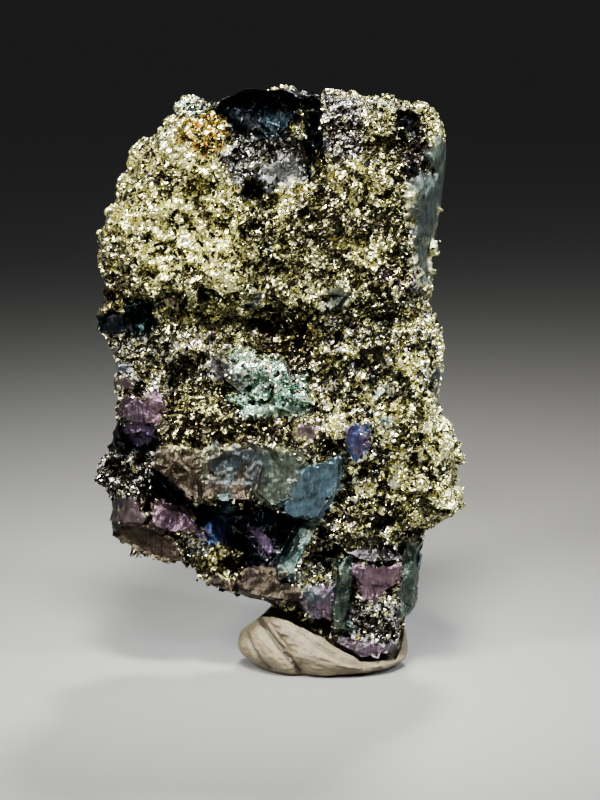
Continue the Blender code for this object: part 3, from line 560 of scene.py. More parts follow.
# Satin covellite: fine parallel striations and faint clouds of another hue, and scratches if asked for
def plateMaterial(name, roughness, lineWidth, lineDepth, depth=1.0, scratchShade=0.0):
    material, tree, shader = makeNodes(name)
    tint, fleck = tintNodes(tree)
    normal, cellParts, coords = facetNormal(tree, finish["plateCells"])
    clouds = noisePattern(tree, finish["clouds"], 6, coords).outputs[0]
    patches = noisePattern(tree, finish["patches"], 5, coords).outputs[0]
    scale = (1 / lineWidth, 1 / lineWidth, finish["lineStretch"] / lineWidth)
    turn = {"Vector": coords, "Rotation": finish["lineTurn"], "Scale": scale}
    lines = noisePattern(tree, 1, 5, addNode(tree, "ShaderNodeMapping", turn).outputs["Vector"]).outputs[0]
    grooves = {"Strength": finish["lineBump"], "Distance": lineDepth, "Height": lines, "Normal": normal}
    bump = addNode(tree, "ShaderNodeBump", grooves).outputs["Normal"]
    drift = {0: doMath(tree, "SUBTRACT", clouds, 0.5), 1: finish["hueDrift"], 2: fleck.outputs["Alpha"]}
    chooser = addNode(tree, "ShaderNodeMath", drift, operation="MULTIPLY_ADD", use_clamp=True).outputs[0]
    low, high = finish["lineShades"]
    shade = spread(tree, lines, low * depth, high * depth)
    shade = doMath(tree, "MULTIPLY", shade, spread(tree, patches, *finish["mottle"]))
    if scratchShade:
        scratchScale, width, broken = finish["scratches"]
        marks = cellBorders(tree, scratchScale, width, coords)
        marks = doMath(tree, "MULTIPLY", marks, doMath(tree, "GREATER_THAN", patches, broken))
        shade = doMath(tree, "ADD", shade, doMath(tree, "MULTIPLY", marks, scratchShade))
    specks = doMath(tree, "LESS_THAN", cellParts[1][0], tint.outputs["Alpha"])
    shade = doMath(tree, "MULTIPLY", shade, doMath(tree, "SUBTRACT", 1.0, specks))
    colour = tinted(tree, tint, fleck, chooser, shade)
    rough = spread(tree, lines, *roughness)
    setInputs(shader, {"Base Color": colour, "Roughness": rough, "Normal": bump, "Metallic": 1.0})
    return material


def makeRockMaterials():
    return [
        grainyMaterial("brassyPyrite", finish["pyriteCells"], (0.3, 1.35), (0.14, 0.40)),
        grainyMaterial("darkDruse", finish["druseCells"], (0.4, 1.3), (0.14, 0.4)),
        plateMaterial("satinCovellite", (0.34, 0.60), 0.19 * mm, 0.13 * mm),
        plateMaterial("glossyHollow", (0.20, 0.40), 0.4 * mm, 0.06 * mm, 0.25, 6.0),
    ]


rock = {
    "edge": 0.37 * mm,         # longest edge of the finished mesh
    "lumps": ((5.0, 0.09), (2.4, 0.16)),   # size and tilt, in millimetres as the rest are
    "ridges": ((0.20, 0.55), (0.46, 0.30), (1.05, 0.15)),   # per millimetre, height
    "mostOut": 0.24,
    "mostIn": 1.05,
    "grains": ((1.3, 0.20), (0.6, 0.12)),
    "gapDepth": 0.22,
    "stepHeight": 0.07,
    "smoothed": ("cleavageFace", "backCleavage"),
    "outlinePull": 0.97,
    "hollowDepth": 0.10,
    "blend": 0.35,             # how far tints run into each other
    "darkBy": (0.60, 0.30, 0.14, 0.6),     # painted shade in low places and on undersides, less on tops, and random darkening by chance
    "sinkShade": 0.16,          # how much the bowls and ledges count as low, for the painted shade
    "hollowSmooth": 7,
    "faceSmooth": 22,
}


# Smooth scooped hollows: centre and radii in the photograph's pixels, turn in degrees, depth in millimetres
bowls = {
    "throatBowl": ((266, 166), (36, 33), 0, 1.6),
    "throatEye": ((250, 193), (11, 12), 0, 1.4),
    "crownHollow": ((257, 115), (46, 30), 8, 2.6),
    "crevice": ((311, 138), (8, 44), 0, 1.6),
    "cornerPit": ((405, 123), (12, 11), 0, 1.4),
    "leftHollow": ((140, 318), (16, 17), 0, 1.6),
    "darkVug": ((283, 338), (29, 17), -5, 1.8),
    "waistShade": ((216, 318), (32, 10), 10, 0.9),
    "tealLens": ((278, 409), (28, 6), -3, 1.0),
    "leftBlack": ((138, 443), (24, 9), 0, 1.1),
    "leftUnder": ((170, 490), (34, 8), 43, 1.3),
    "hollowBelow": ((256, 531), (44, 31), 20, 3.0),
    "fanSlit": ((382, 561), (21, 3), 0, 0.9),
}


# Steps in the front: how far the low side drops in millimetres, over how many pixels, and the line in the
# photograph's pixels. The low side is on the right hand of one who walks along the line.
ledges = {
    "shoulderFoot": (0.9, 10, (
        (98, 288), (124, 296), (150, 300), (172, 312), (196, 308), (222, 300), (244, 304), (262, 312),
        (290, 306), (306, 318), (322, 316))),
    "slabFoot": (0.6, 9, ((322, 316), (340, 303), (352, 286), (376, 272), (398, 256), (416, 250))),
    "vugBrow": (0.6, 9, ((240, 332), (256, 321), (276, 317), (300, 321), (314, 332))),
    "vugSill": (0.7, 10, ((316, 356), (290, 362), (262, 352), (246, 344))),
    "tealFoot": (1.1, 8, ((238, 404), (262, 399), (290, 400), (314, 405))),
    "noduleArc": (1.0, 10, ((186, 378), (172, 388), (164, 404), (163, 424), (156, 446))),
    "noduleLip": (1.6, 13, (
        (148, 464), (170, 484), (193, 505), (203, 499), (222, 501), (252, 502), (281, 514), (300, 521))),
    "knobFoot": (1.0, 8, ((88, 487), (112, 494), (134, 492), (150, 482))),
    "mixFoot": (1.2, 10, ((318, 524), (332, 544), (348, 551), (372, 546), (396, 548), (426, 534))),
    "rightRidge": (0.6, 8, ((318, 340), (334, 331), (352, 323), (374, 316))),
    "midRidge": (0.6, 10, ((326, 402), (348, 390), (372, 378), (390, 372))),
    "cheekEdge": (0.7, 9, ((428, 400), (420, 424), (404, 446), (396, 470), (384, 500))),
    "leftFold": (0.5, 7, ((112, 340), (128, 338), (146, 350), (160, 366), (166, 384))),
    "crownRim": (0.6, 7, ((216, 124), (236, 137), (262, 140), (286, 133), (300, 120))),
    "shoulderFold": (0.6, 10, ((236, 290), (246, 262), (250, 236), (262, 214))),
}


# The rock's outline in the photograph's pixels
rockOutline = (
    (180, 98), (196, 95), (220, 101), (250, 88), (284, 87), (308, 94), (325, 91), (349, 92), (366, 95),
    (391, 94), (412, 100), (428, 104), (441, 118), (450, 129), (451, 169), (448, 182), (443, 207),
    (433, 255), (431, 279), (429, 292), (439, 313), (444, 345), (443, 375), (441, 398), (449, 410),
    (453, 422), (461, 439), (466, 456), (465, 467), (460, 475), (464, 487), (465, 504), (457, 512),
    (442, 517), (429, 528), (424, 545), (420, 568), (419, 581), (416, 601), (410, 613), (404, 616),
    (402, 640), (396, 670), (376, 680), (330, 655), (296, 624), (267, 600), (251, 597), (234, 592),
    (212, 584), (197, 576), (195, 568), (181, 557), (169, 561), (153, 555), (140, 550), (131, 544),
    (113, 535), (112, 522), (109, 515), (112, 506), (109, 491), (101, 487), (91, 482), (91, 465),
    (103, 450), (112, 429), (115, 417), (114, 387), (112, 368), (110, 355), (111, 340), (96, 329),
    (97, 311), (103, 297), (102, 282), (98, 265), (98, 245), (96, 230), (98, 219), (105, 212), (110, 203),
    (120, 181), (128, 168), (130, 152), (143, 140), (153, 132), (161, 124), (171, 111),
)


# Draws what shows outside the photograph's outline back to it
def trimToOutline(points):
    places = photoPixels(points)
    outside = ~insideOutline(places, rockOutline)
    target = nearestOn(np.array(rockOutline + rockOutline[:1], dtype=float), places)[1]
    pull = (target - places) * rock["outlinePull"] * outside[:, None]
    points[:, 0] += pull[:, 0] * view["pixel"]
    points -= pull[:, 1:] * view["pixel"] * np.array(viewUp)
    return points


def facesCamera(points, normals):
    return (normals @ np.array(viewAlong) < -0.1) & (points[:, 1] < 0.001)


# Pushes the front of the rock back into each bowl, from a plane through the bowl's rim
def sinkBowls(points, normals):
    for centre, radii, turn, depth in bowls.values():
        places = photoPixels(points) - centre
        across = places[:, 0] * cos(radians(turn)) + places[:, 1] * sin(radians(turn))
        down = places[:, 1] * cos(radians(turn)) - places[:, 0] * sin(radians(turn))
        reach = np.sqrt((across / radii[0]) ** 2 + (down / radii[1]) ** 2)
        facing = facesCamera(points, normals)
        rim = facing & (reach > 1.0) & (reach < 1.35)
        inside = facing & (reach < 1.0)
        if rim.sum() < 6:
            continue
        depths = points @ np.array(viewAlong)
        fit = np.c_[across, down, np.ones(len(across))]
        plane = fit @ np.linalg.lstsq(fit[rim], depths[rim], rcond=None)[0]
        wanted = plane + depth * mm * np.sqrt(np.clip(1 - reach ** 2, 0, 1))
        shift = np.where(inside, wanted - depths, 0)
        points += shift[:, None] * np.array(viewAlong)
    return points


# Draws the points of each smooth face towards one plane
def flattenFaces(points, zones):
    for name in rock["smoothed"]:
        number = [entry[0] for entry in zoneTable].index(name)
        chosen = zones == number
        if chosen.sum() < 20:
            continue
        centre = points[chosen].mean(axis=0)
        normal = np.linalg.svd(points[chosen] - centre, full_matrices=False)[2][2]
        off = (points[chosen] - centre) @ normal
        points[chosen] -= 0.75 * off[:, None] * normal
    return points


# Drops the low side of each ledge along the line of sight and lifts its rim a little
def dropLedges(points, normals):
    facing = facesCamera(points, normals)
    for drop, reach, line in ledges.values():
        places = photoPixels(points) + 2.5 * strayOver(points, 1100, (41, 43))
        nearest, _, side = nearestOn(np.array(line, dtype=float), places)
        low = drop * np.exp(-(nearest / reach) ** 1.5)
        high = -0.25 * drop * np.exp(-(nearest / (0.5 * reach)) ** 1.5)
        shift = np.where(side > 0, low, high) * facing * mm
        points += shift[:, None] * np.array(viewAlong)
    return points


# Relief of broken grains: each tilts its own way, and gaps lie between them
def cellRelief(point, size, tilt, gapDepth):
    distances, centres = noise.voronoi(point / size)
    centre = centres[0]
    lean = Vector((noise.cell(centre * 7.1), noise.cell(centre * 5.3), noise.cell(centre * 3.7)))
    offset = (point / size - centre) * size
    gap = min(1.0, (distances[1] - distances[0]) / 0.22)
    rise = tilt * 2.2 * (lean - Vector((0.5, 0.5, 0.5))).dot(offset)
    return rise + tilt * size * 0.5 * (noise.cell(centre * 9.7) - 0.5) - gapDepth * size * (1 - gap)


# Ridges that run down to the right, as the pyrite's flow lines do
def ridgeRelief(point):
    along = 0.85 * point.x - 0.53 * point.z
    over = 0.53 * point.x + 0.85 * point.z
    total = 0.0
    for scale, height in rock["ridges"]:
        place = Vector((along * scale * 0.55, point.y * scale, over * scale)) + Vector((9, 4, scale))
        total += height * (0.30 - 1.5 * abs(noise.noise(place)))
    return total


def grainRelief(point, strength):
    total = ridgeRelief(point) + sum(cellRelief(point, size, tilt, 0.05) for size, tilt in rock["lumps"])
    for size, tilt in rock["grains"]:
        total += cellRelief(point, size, tilt, rock["gapDepth"])
    return total * strength


# Terraces of stacked covellite plates
def stepRelief(point):
    level = 3.2 * noise.noise(point * 0.45) + 1.1 * noise.noise(point * 1.3)
    return rock["stepHeight"] * (round(level) + 0.15 * (level - round(level)))


# The zones' tints at each point, softened across their borders by a reach in millimetres
def softTints(points, seed, times, reach):
    rng = np.random.default_rng(seed)
    layers = {"tint": 0, "fleck": 0}
    for _ in range(times):
        numbers = zoneNumbers(points + rng.uniform(-1, 1, points.shape) * reach * mm)
        for part in layers:
            layers[part] = layers[part] + zoneTints[part][numbers] / times
    return layers["tint"], layers["fleck"]


# Paints the rock. More grains are painted dark as shade where the surface is low or turned down, fewer on
# tops, and some more at random.
def paintRock(mesh, points, heights, slopes):
    tint, fleck = softTints(points, 4, 4, rock["blend"])
    wander = 0.30 * noiseOver(points, 240, 17) + 0.22 * noiseOver(points, 700, 19)
    granular = tint[:, 3] > 0.08
    low, under, above, stray = rock["darkBy"]
    shadeAdded = low * (np.median(heights[granular]) - heights) + under * np.clip(-slopes, 0, 1)
    shadeAdded = shadeAdded - above * np.clip(slopes, 0, 1) + stray * wander
    tint[:, 3] = np.where(granular, np.clip(tint[:, 3] + shadeAdded, 0.02, 0.95), tint[:, 3])
    paintLayers(mesh, tint, fleck)


def makeRock(materials):
    bm = bmesh.new()
    bm.from_mesh(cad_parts["specimen"].data)
    bmesh.ops.remove_doubles(bm, verts=bm.verts, dist=1e-6)
    for limit in (1.5 * mm, 0.75 * mm, rock["edge"]):
        splitLong(bm, limit, 2)
    print("rock mesh", len(bm.faces), "faces")
    bm.normal_update()
    points = np.array([vert.co[:] for vert in bm.verts])
    zones = zoneNumbers(points)
    normals = np.array([vert.normal[:] for vert in bm.verts])
    sunk = dropLedges(sinkBowls(points.copy(), normals), normals)
    sunk = trimToOutline(flattenFaces(sunk, zones))
    sinks = (sunk - points) @ np.array(viewAlong) / mm
    for vert, place in zip(bm.verts, sunk):
        vert.co = place
    hollows = []
    faceted = []
    bm.normal_update()
    shifts = []
    heights = []
    edgeOn = 1 - np.abs(normals @ np.array(viewAlong))
    for vert, number, slant in zip(bm.verts, zones, edgeOn):
        kind = zoneTable[number][1][0]
        place = vert.co / mm
        if kind == "pyrite":
            rise = grainRelief(place, 1.0)
        elif kind == "druse":
            rise = grainRelief(place, 0.8) - 0.05
        elif kind == "plate":
            rise = stepRelief(place)
            if zoneTable[number][0] in rock["smoothed"]:
                rise = 0.08 * noise.noise(place * 0.6)
                faceted.append(vert)
        else:
            rise = -rock["hollowDepth"]
            hollows.append(vert)
        rise = min(rock["mostOut"], max(-rock["mostIn"] * (1 - 0.65 * slant), rise))
        heights.append(rise)
        shifts.append(vert.normal * rise * mm)
    for vert, shift in zip(bm.verts, shifts):
        vert.co += shift
    smoothVerts(bm, hollows, rock["hollowSmooth"])
    smoothVerts(bm, faceted, rock["faceSmooth"])
    centres = np.array([face.calc_center_median()[:] for face in bm.faces])
    for face, number in zip(bm.faces, zoneNumbers(centres)):
        kind = zoneTable[number][1][0]
        face.material_index = kinds.index(kind)
        face.smooth = kind == "hollow"
    bm.normal_update()
    slopes = np.array([vert.normal.z for vert in bm.verts])
    mesh = meshFrom(bm, "rock")
    # Sunk bowls and ledges count as low places, so they get more painted shade
    paintRock(mesh, points, np.array(heights) - rock["sinkShade"] * np.clip(sinks, -1, 2), slopes)
    for material in materials:
        mesh.materials.append(material)
    obj = newObject("rock", mesh)
    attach(obj, "root")
    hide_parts("specimen")
    print("rock done")
    return obj


# Keeps what stands on the rock within the specimen's box
def keepInside(mesh):
    low, high = (np.array(corner) for corner in cadBox)
    margin = 0.25 * mm
    places = np.clip(gather(mesh.vertices, "co", 3), low - margin, high + margin)
    mesh.vertices.foreach_set("co", places.ravel())


# Satin plates of covellite that the photograph shows: tint, second tint (none where the zones give them),
# lift above the rock and crumpling in millimetres, and the outline in the photograph's pixels
plates = {
    "blueBlade": ("slate", "greyBlue", 0.35, 0.1, (
        (281, 512), (290, 496), (300, 478), (306, 466), (325, 463), (341, 453), (342, 475), (335, 495),
        (320, 518), (302, 518))),
    "greenBlade": ("teal", "sage", 0.25, 0.04, (
        (302, 518), (320, 518), (312, 535), (300, 555), (290, 581), (276, 570), (283, 548), (292, 535))),
    "nodule": (None, None, 0.3, 0.2, (
        (158, 447), (176, 445), (202, 450), (232, 446), (262, 451), (283, 447), (300, 458), (300, 478),
        (290, 496), (281, 512), (252, 501), (222, 500), (203, 498), (193, 504), (172, 484), (151, 463))),
    "leftPurple": ("purple", "mauve", 0.2, 0.2, (
        (117, 404), (127, 396), (140, 400), (149, 405), (145, 424), (128, 419))),
    "leftLilac": ("rose", "purple", 0.3, 0.1, (
        (149, 405), (150, 394), (156, 388), (163, 396), (167, 408), (159, 420), (145, 424))),
    "leftIndigo": ("purple", "indigo", 0.1, 0.14, (
        (128, 419), (145, 424), (159, 428), (152, 441), (138, 447), (124, 432))),
    "beakPlate": ("black", "night", 0.1, 0.1, (
        (99, 322), (112, 314), (130, 318), (134, 332), (118, 336), (102, 331))),
    "pinkTriangle": ("rose", "grey", 0.25, 0.1, ((132, 493), (147, 518), (143, 523), (116, 520))),
    "roseBoulder": ("purple", "rose", 0.3, 0.2, (
        (151, 512), (162, 504), (180, 504), (195, 512), (194, 524), (176, 531), (158, 526))),
    "brownFoot": ("umber", "brown", 0.25, 0.1, (
        (113, 521), (136, 519), (160, 526), (173, 536), (183, 557), (170, 562), (153, 557), (140, 551),
        (130, 545), (112, 536))),
    "indigoPlate": ("indigo", "royal", 0.2, 0.16, (
        (206, 516), (214, 508), (224, 520), (226, 538), (214, 546), (208, 540))),
    "violetPlate": ("purple", "indigo", 0.2, 0.1, ((192, 516), (206, 516), (208, 540), (196, 534))),
    "tealArc": ("night", "teal", 0.15, 0.1, ((218, 502), (236, 498), (243, 502), (232, 514), (220, 516))),
    "lilacArc": ("lilac", "purple", 0.25, 0.1, (
        (249, 529), (262, 531), (271, 540), (273, 555), (266, 551), (258, 540))),
    "bronzeSole": ("soot", "umber", 0.25, 0.2, (
        (238, 568), (262, 565), (288, 572), (301, 590), (296, 601), (266, 596), (240, 589))),
    "darkSole": ("brown", "black", 0.2, 0.1, ((198, 572), (214, 569), (224, 580), (214, 585), (200, 581))),
    "greyBluePatch": ("steel", "purple", 0.2, 0.2, (
        (302, 592), (318, 584), (334, 586), (336, 604), (328, 616), (312, 606))),
    "greenRib": ("darkGreen", "sage", 0.2, 0.1, (
        (338, 560), (352, 554), (352, 588), (344, 628), (334, 632), (332, 606), (340, 584))),
    "roseFan": ("rose", "purple", 0.25, 0.1, (
        (352, 564), (380, 568), (401, 562), (400, 580), (384, 590), (374, 602), (364, 598), (356, 582))),
    "fanTop": ("mauve", "grey", 0.3, 0.1, ((346, 552), (366, 546), (396, 548), (402, 558), (372, 561))),
    "blueFlake": ("royal", "purple", 0.15, 0.16, (
        (345, 428), (360, 424), (371, 430), (368, 446), (358, 458), (346, 450))),
    "purpleTip": ("mauve", "purple", 0.15, 0.16, (
        (340, 636), (362, 640), (384, 648), (378, 658), (350, 648))),
    "tealFlank": ("darkGreen", "sage", 0.15, 0.16, (
        (404, 548), (420, 544), (418, 572), (412, 606), (402, 600))),
}


# Where a photo pixel lies on the model, at a depth along the line of sight
def placeAt(column, row, depth):
    up = (view["floorRow"] - row) * view["pixel"]
    return Vector(((column - view["middleX"]) * view["pixel"], 0, 0)) + viewUp * up + viewAlong * depth


# Where a photo pixel's line of sight meets the rock, as a depth beyond the plane through the origin
def sightDepth(tree, column, row):
    place, normal, index, distance = tree.ray_cast(placeAt(column, row, -0.1), viewAlong)
    return None if place is None else distance - 0.1


# An outline with small steps added between its corners, the same from both sides of a shared edge
def roughOutline(outline):
    rough = []
    for here, there in zip(outline, outline[1:] + outline[:1]):
        rough.append(here)
        length = ((here[0] - there[0]) ** 2 + (here[1] - there[1]) ** 2) ** 0.5
        first, last = sorted((here, there))
        steps = int(length / 7)
        middle = []
        for step in range(1, steps + 1):
            part = step / (steps + 1)
            x = first[0] + (last[0] - first[0]) * part
            y = first[1] + (last[1] - first[1]) * part
            stray = noise.noise(Vector((x * 0.31, y * 0.31, 4))) * 3.0
            x += stray * (last[1] - first[1]) / length
            y -= stray * (last[0] - first[0]) / length
            middle.append((round(x, 2), round(y, 2)))
        rough += middle if first == here else middle[::-1]
    return tuple(rough)


# One closed plate: its outline is drawn flat, thickened, crossed by low ridges and bevelled
def addPlate(target, corners, outward, thick, ridges, rng):
    bm = bmesh.new()
    front = [bm.verts.new(corner) for corner in corners]
    bmesh.ops.contextual_create(bm, geom=front)
    thicken(bm, -outward * thick)
    middle = sum(corners, Vector()) / len(corners)
    for _ in range(ridges):
        side = outward.orthogonal().normalized()
        side.rotate(Matrix.Rotation(rng.uniform(0, pi), 3, outward))
        offset = side * rng.uniform(-1.0, 1.0) * mm
        cut = bmesh.ops.bisect_plane(
            bm, geom=[*bm.verts, *bm.edges, *bm.faces], dist=1e-7, plane_co=middle + offset, plane_no=side)
        lifted = [item for item in cut["geom_cut"] if isinstance(item, bmesh.types.BMVert)]
        lifted = [vert for vert in lifted if (vert.co - middle).dot(outward) > -0.2 * thick]
        bmesh.ops.translate(bm, verts=lifted, vec=outward * rng.uniform(-0.13, 0.16) * mm)
    rim = [edge for edge in bm.edges if len(edge.link_faces) == 2 and edge.calc_face_angle() > 0.8]
    bmesh.ops.bevel(bm, geom=rim, offset=0.09 * mm, affect="EDGES", segments=1, profile=0.5, material=-1)
    bmesh.ops.triangulate(bm, faces=bm.faces)
    return len(joinPlate(target, bm))


# Creases of thin crumpled sheets, from -0.5 to 0.5
def creases(column, row, scale):
    first = 0.5 - 2.2 * abs(noise.noise(Vector((column, row, 7)) * scale))
    second = 0.5 - 2.2 * abs(noise.noise(Vector((column, row, 3)) * scale * 2.7))
    return 0.65 * first + 0.35 * second


# One plate that follows the rock: its outline is filled, cut small, laid at its depth and crumpled
def addDraped(target, tree, outline, lift, crumple, thick):
    middle = np.mean(outline, axis=0)
    samples = []
    for corner in np.array(outline, dtype=float):
        for inward in (0.15, 0.5, 0.8):
            column, row = corner + (middle - corner) * inward
            depth = sightDepth(tree, column, row)
            if depth is not None:
                samples.append((column, row, depth))
    samples = np.array(samples)
    fit = np.c_[samples[:, :2] * view["pixel"], np.ones(len(samples))]
    slope = np.clip(np.linalg.lstsq(fit, samples[:, 2], rcond=None)[0][:2], -0.9, 0.9) * view["pixel"]
    base = np.mean(samples[:, 2] - samples[:, :2] @ slope) - lift * mm
    bm = bmesh.new()
    bmesh.ops.contextual_create(bm, geom=[bm.verts.new((column, row, 0)) for column, row in outline])
    bmesh.ops.triangulate(bm, faces=bm.faces)
    splitLong(bm, 4, 5, rimToo=False)
    bmesh.ops.recalc_face_normals(bm, faces=bm.faces)
    for vert in bm.verts:
        column, row = vert.co.x, vert.co.y
        depth = base + column * slope[0] + row * slope[1]
        under = sightDepth(tree, column, row)
        if under is not None:
            depth = 0.6 * depth + 0.4 * (under - lift * mm)
            depth = min(depth, under - 0.05 * mm)
        depth -= crumple * creases(column, row, 0.055) * mm
        vert.co = placeAt(column, row, depth)
    rim = [vert.co.copy() for vert in bm.verts if vert.is_boundary]
    thicken(bm, viewAlong * thick)
    return joinPlate(target, bm), rim


def makePlates(rockObject, material):
    rng = random.Random(9)
    rockMesh = bmesh.new()
    rockMesh.from_mesh(rockObject.data)
    tree = BVHTree.FromBMesh(rockMesh)
    rockMesh.free()
    bm = bmesh.new()
    tintRow = []
    fleckRow = []
    rimPlaces = []
    for name, (tint, fleck, lift, crumple, outline) in plates.items():
        places, rim = addDraped(bm, tree, roughOutline(outline), lift, crumple, 1.0 * mm)
        if tint is None:
            tintLayer, fleckLayer = softTints(places, 6, 6, 0.5)
            tintLayer[:, 3] = 0
            tintRow += [tuple(row) for row in tintLayer]
            fleckRow += [tuple(row) for row in fleckLayer]
        else:
            tintRow += [(*tints[tint], 0.0)] * len(places)
            fleckRow += [(*tints[fleck], 0.35)] * len(places)
        for place in rim:
            for _ in range(rng.choice((0, 0, 0, 0, 1, 2))):
                stray = Vector([rng.uniform(-0.35, 0.35) for _ in range(3)]) * mm
                rimPlaces.append(place + stray + viewAlong * rng.uniform(0.1, 0.5) * mm)
    mesh = rockObject.data
    picks, centres, normals, zones = scatterOn(mesh, "plates", loosePlates["count"], rng)
    for pick in picks:
        zone = zoneTable[zones[pick]][1]
        low, high = loosePlates["sizes"]
        size = low + (high - low) * rng.random() ** 1.6
        tilt = Vector([rng.uniform(-1, 1) for _ in range(3)]) * loosePlates["tilt"]
        outward = (Vector(normals[pick]) + tilt).normalized()
        side = outward.orthogonal().normalized()
        side.rotate(Matrix.Rotation(rng.uniform(0, 2 * pi), 3, outward))
        other = outward.cross(side)
        sides = rng.choice((4, 5, 5, 6, 7))
        long = rng.uniform(0.8, 1.7)
        corners = []
        for corner in range(sides):
            angle = 2 * pi * (corner + rng.uniform(-0.25, 0.25)) / sides
            reach = size * rng.uniform(0.8, 1.15) * mm
            corners.append(side * cos(angle) * reach * long + other * sin(angle) * reach)
        base = Vector(centres[pick]) + outward * rng.uniform(-0.15, 0.2) * mm
        count = addPlate(bm, [base + corner for corner in corners], outward, loosePlates["thick"], 1, rng)
        main, second = zone[1], zone[2]
        if zone[0] != "plate" or normals[pick][1] < 0:
            main, second = rng.choice(loosePlates["tints"])
        tintRow += [(*tints[main], 0.0)] * count
        fleckRow += [(*tints[second], zone[3])] * count
    mesh = meshFrom(bm, "covellitePlates")
    mesh.vertices.foreach_set("co", trimToOutline(gather(mesh.vertices, "co", 3)).ravel())
    keepInside(mesh)
    paintLayers(mesh, tintRow, fleckRow)
    mesh.materials.append(material)
    obj = newObject("covellitePlates", mesh)
    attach(obj, "root")
    print("plates", len(mesh.polygons), "faces")
    return rimPlaces


loosePlates = {
    "count": 240,
    "sizes": (0.4, 1.8),       # mean radius in millimetres
    "tilt": 0.35,
    "shares": {"pyrite": 0.0, "druse": 1.6, "plate": 0.8, "hollow": 0.5},   # of the back's zones
    "thick": 0.9 * mm,
    "tints": (
        ("black", "brown"), ("brown", "purple"), ("night", "black"), ("maroon", "black"),
        ("grey", "black")),
}

grains = {
    "count": 12000,
    "sizes": (0.09, 0.26),     # half widths in millimetres
    "sink": 0.38,
    "rimSize": 0.7,            # of those along the plates' edges
    "bright": ("white", "paleGreen", "orange", "silver", "paleGold", "gold"),
    "odd": ("lilac", "royal", "orange", "paleGreen", "rose", "white"),
    # tints for grains painted dark as shade
    "dark": ("bronze", "olive", "black", "black"),
    "goldShare": 0.3,
    "glintShare": 0.6,
    "oddShare": 0.06,
    "shades": (0.6, 1.1),
    # share of each grain's cells painted nearly black as shade
    "darkShare": 0.12,
}


# Small crystals to copy: a cube, a cube with cut corners and an eight-sided one
def crystalTemplates():
    templates = []
    for sides in ("cube", "cut", "octa"):
        bm = bmesh.new()
        if sides == "octa":
            bmesh.ops.create_uvsphere(bm, u_segments=4, v_segments=2, radius=1.3)
            bmesh.ops.scale(bm, verts=bm.verts, vec=(1, 1.15, 0.9))
        else:
            bmesh.ops.create_cube(bm, size=1.7)
        if sides == "cut":
            for corner in ((1, 1, 1), (-1, 1, 0.6)):
                away = Vector(corner).normalized()
                cut = bmesh.ops.bisect_plane(
                    bm, geom=[*bm.verts, *bm.edges, *bm.faces], dist=0.0001,
                    plane_co=away * 1.02, plane_no=away, clear_outer=True)
                rim = [item for item in cut["geom_cut"] if isinstance(item, bmesh.types.BMEdge)]
                bmesh.ops.holes_fill(bm, edges=rim, sides=0)
        bmesh.ops.triangulate(bm, faces=bm.faces)
        templates.append(meshFrom(bm, sides))
    return templates


# Faces of the rock picked at random, as thickly as their zones ask for
def scatterOn(mesh, what, count, rng):
    centres = gather(mesh.polygons, "center", 3)
    normals = gather(mesh.polygons, "normal", 3)
    zones = zoneNumbers(centres)
    if what == "grains":
        wanted = np.array([zone[4] for _, zone, _ in zoneTable])[zones]
        wanted = wanted * np.clip(0.6 + 1.6 * noiseOver(centres, 450, 31), 0.05, 2)
    else:
        wanted = [0.0 if atFront else loosePlates["shares"][zone[0]] for _, zone, atFront in zoneTable]
        wanted = np.array(wanted)[zones]
    running = np.cumsum(gather(mesh.polygons, "area") * wanted)
    picks = np.searchsorted(running, sorted(rng.random() * running[-1] for _ in range(count)))
    return picks, centres, normals, zones


# A grain's tint: its zone's, now and then another, and a dark one as painted shade where the rock is
# painted dark
def grainTint(zone, depth, rng):
    name = zone[1] if zone[1] in grains["bright"] else "olive"
    if rng.random() < grains["goldShare"]:
        name = rng.choice(("paleGold", "gold", "olive"))
    if zone[1] == "black" and rng.random() < grains["glintShare"]:
        name = "white"
    if rng.random() < grains["oddShare"]:
        name = rng.choice(grains["odd"])
    shade = rng.uniform(*grains["shades"])
    # Painted shade: where the rock is painted dark, grains mostly get a dark tint
    if rng.random() < 1.15 * depth - 0.05:
        name = rng.choice(grains["dark"])
    return (*[min(1.0, channel * shade) for channel in tints[name]], grains["darkShare"])


def makeGrains(rockObject, material, rimPlaces):
    rng = random.Random(5)
    picks, centres, normals, zones = scatterOn(rockObject.data, "grains", grains["count"], rng)
    picks = list(picks) + [None] * len(rimPlaces)
    mesh = rockObject.data
    cornerPoints = gather(mesh.loops, "vertex_index", 1, int)
    # each face's share painted dark as shade
    darkShares = gather(mesh.color_attributes["tint"].data, "color", 4)[cornerPoints[::3], 3]
    templates = crystalTemplates()
    bm = bmesh.new()
    tintRow = []
    for pick in picks:
        template = rng.choice(templates)
        low, high = grains["sizes"]
        size = low + (high - low) * rng.random() ** 2.2
        turn = Euler([rng.uniform(0, 2 * pi) for _ in range(3)]).to_matrix().to_4x4()
        stretch = Matrix.Diagonal((rng.uniform(0.8, 1.3), rng.uniform(0.8, 1.2), 1, 1))
        if pick is None:
            place = rimPlaces.pop()
            size *= grains["rimSize"]
            zone = frontZones["noduleTop"]
        else:
            place = Vector(centres[pick]) - Vector(normals[pick]) * grains["sink"] * size * mm
            zone = zoneTable[zones[pick]][1]
        matrix = Matrix.Translation(place) @ turn @ stretch @ Matrix.Scale(size * mm, 4)
        copy = template.copy()
        copy.transform(matrix)
        bm.from_mesh(copy)
        bpy.data.meshes.remove(copy)
        depth = zone[5] if pick is None else darkShares[pick]
        tintRow += [grainTint(zone, depth, rng)] * len(template.vertices)
    for template in templates:
        bpy.data.meshes.remove(template)
    mesh = meshFrom(bm, "pyriteGrains")
    keepInside(mesh)
    paintLayers(mesh, tintRow, tintRow)
    mesh.materials.append(material)
    obj = newObject("pyriteGrains", mesh)
    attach(obj, "root")
    print("grains", len(mesh.polygons), "faces")


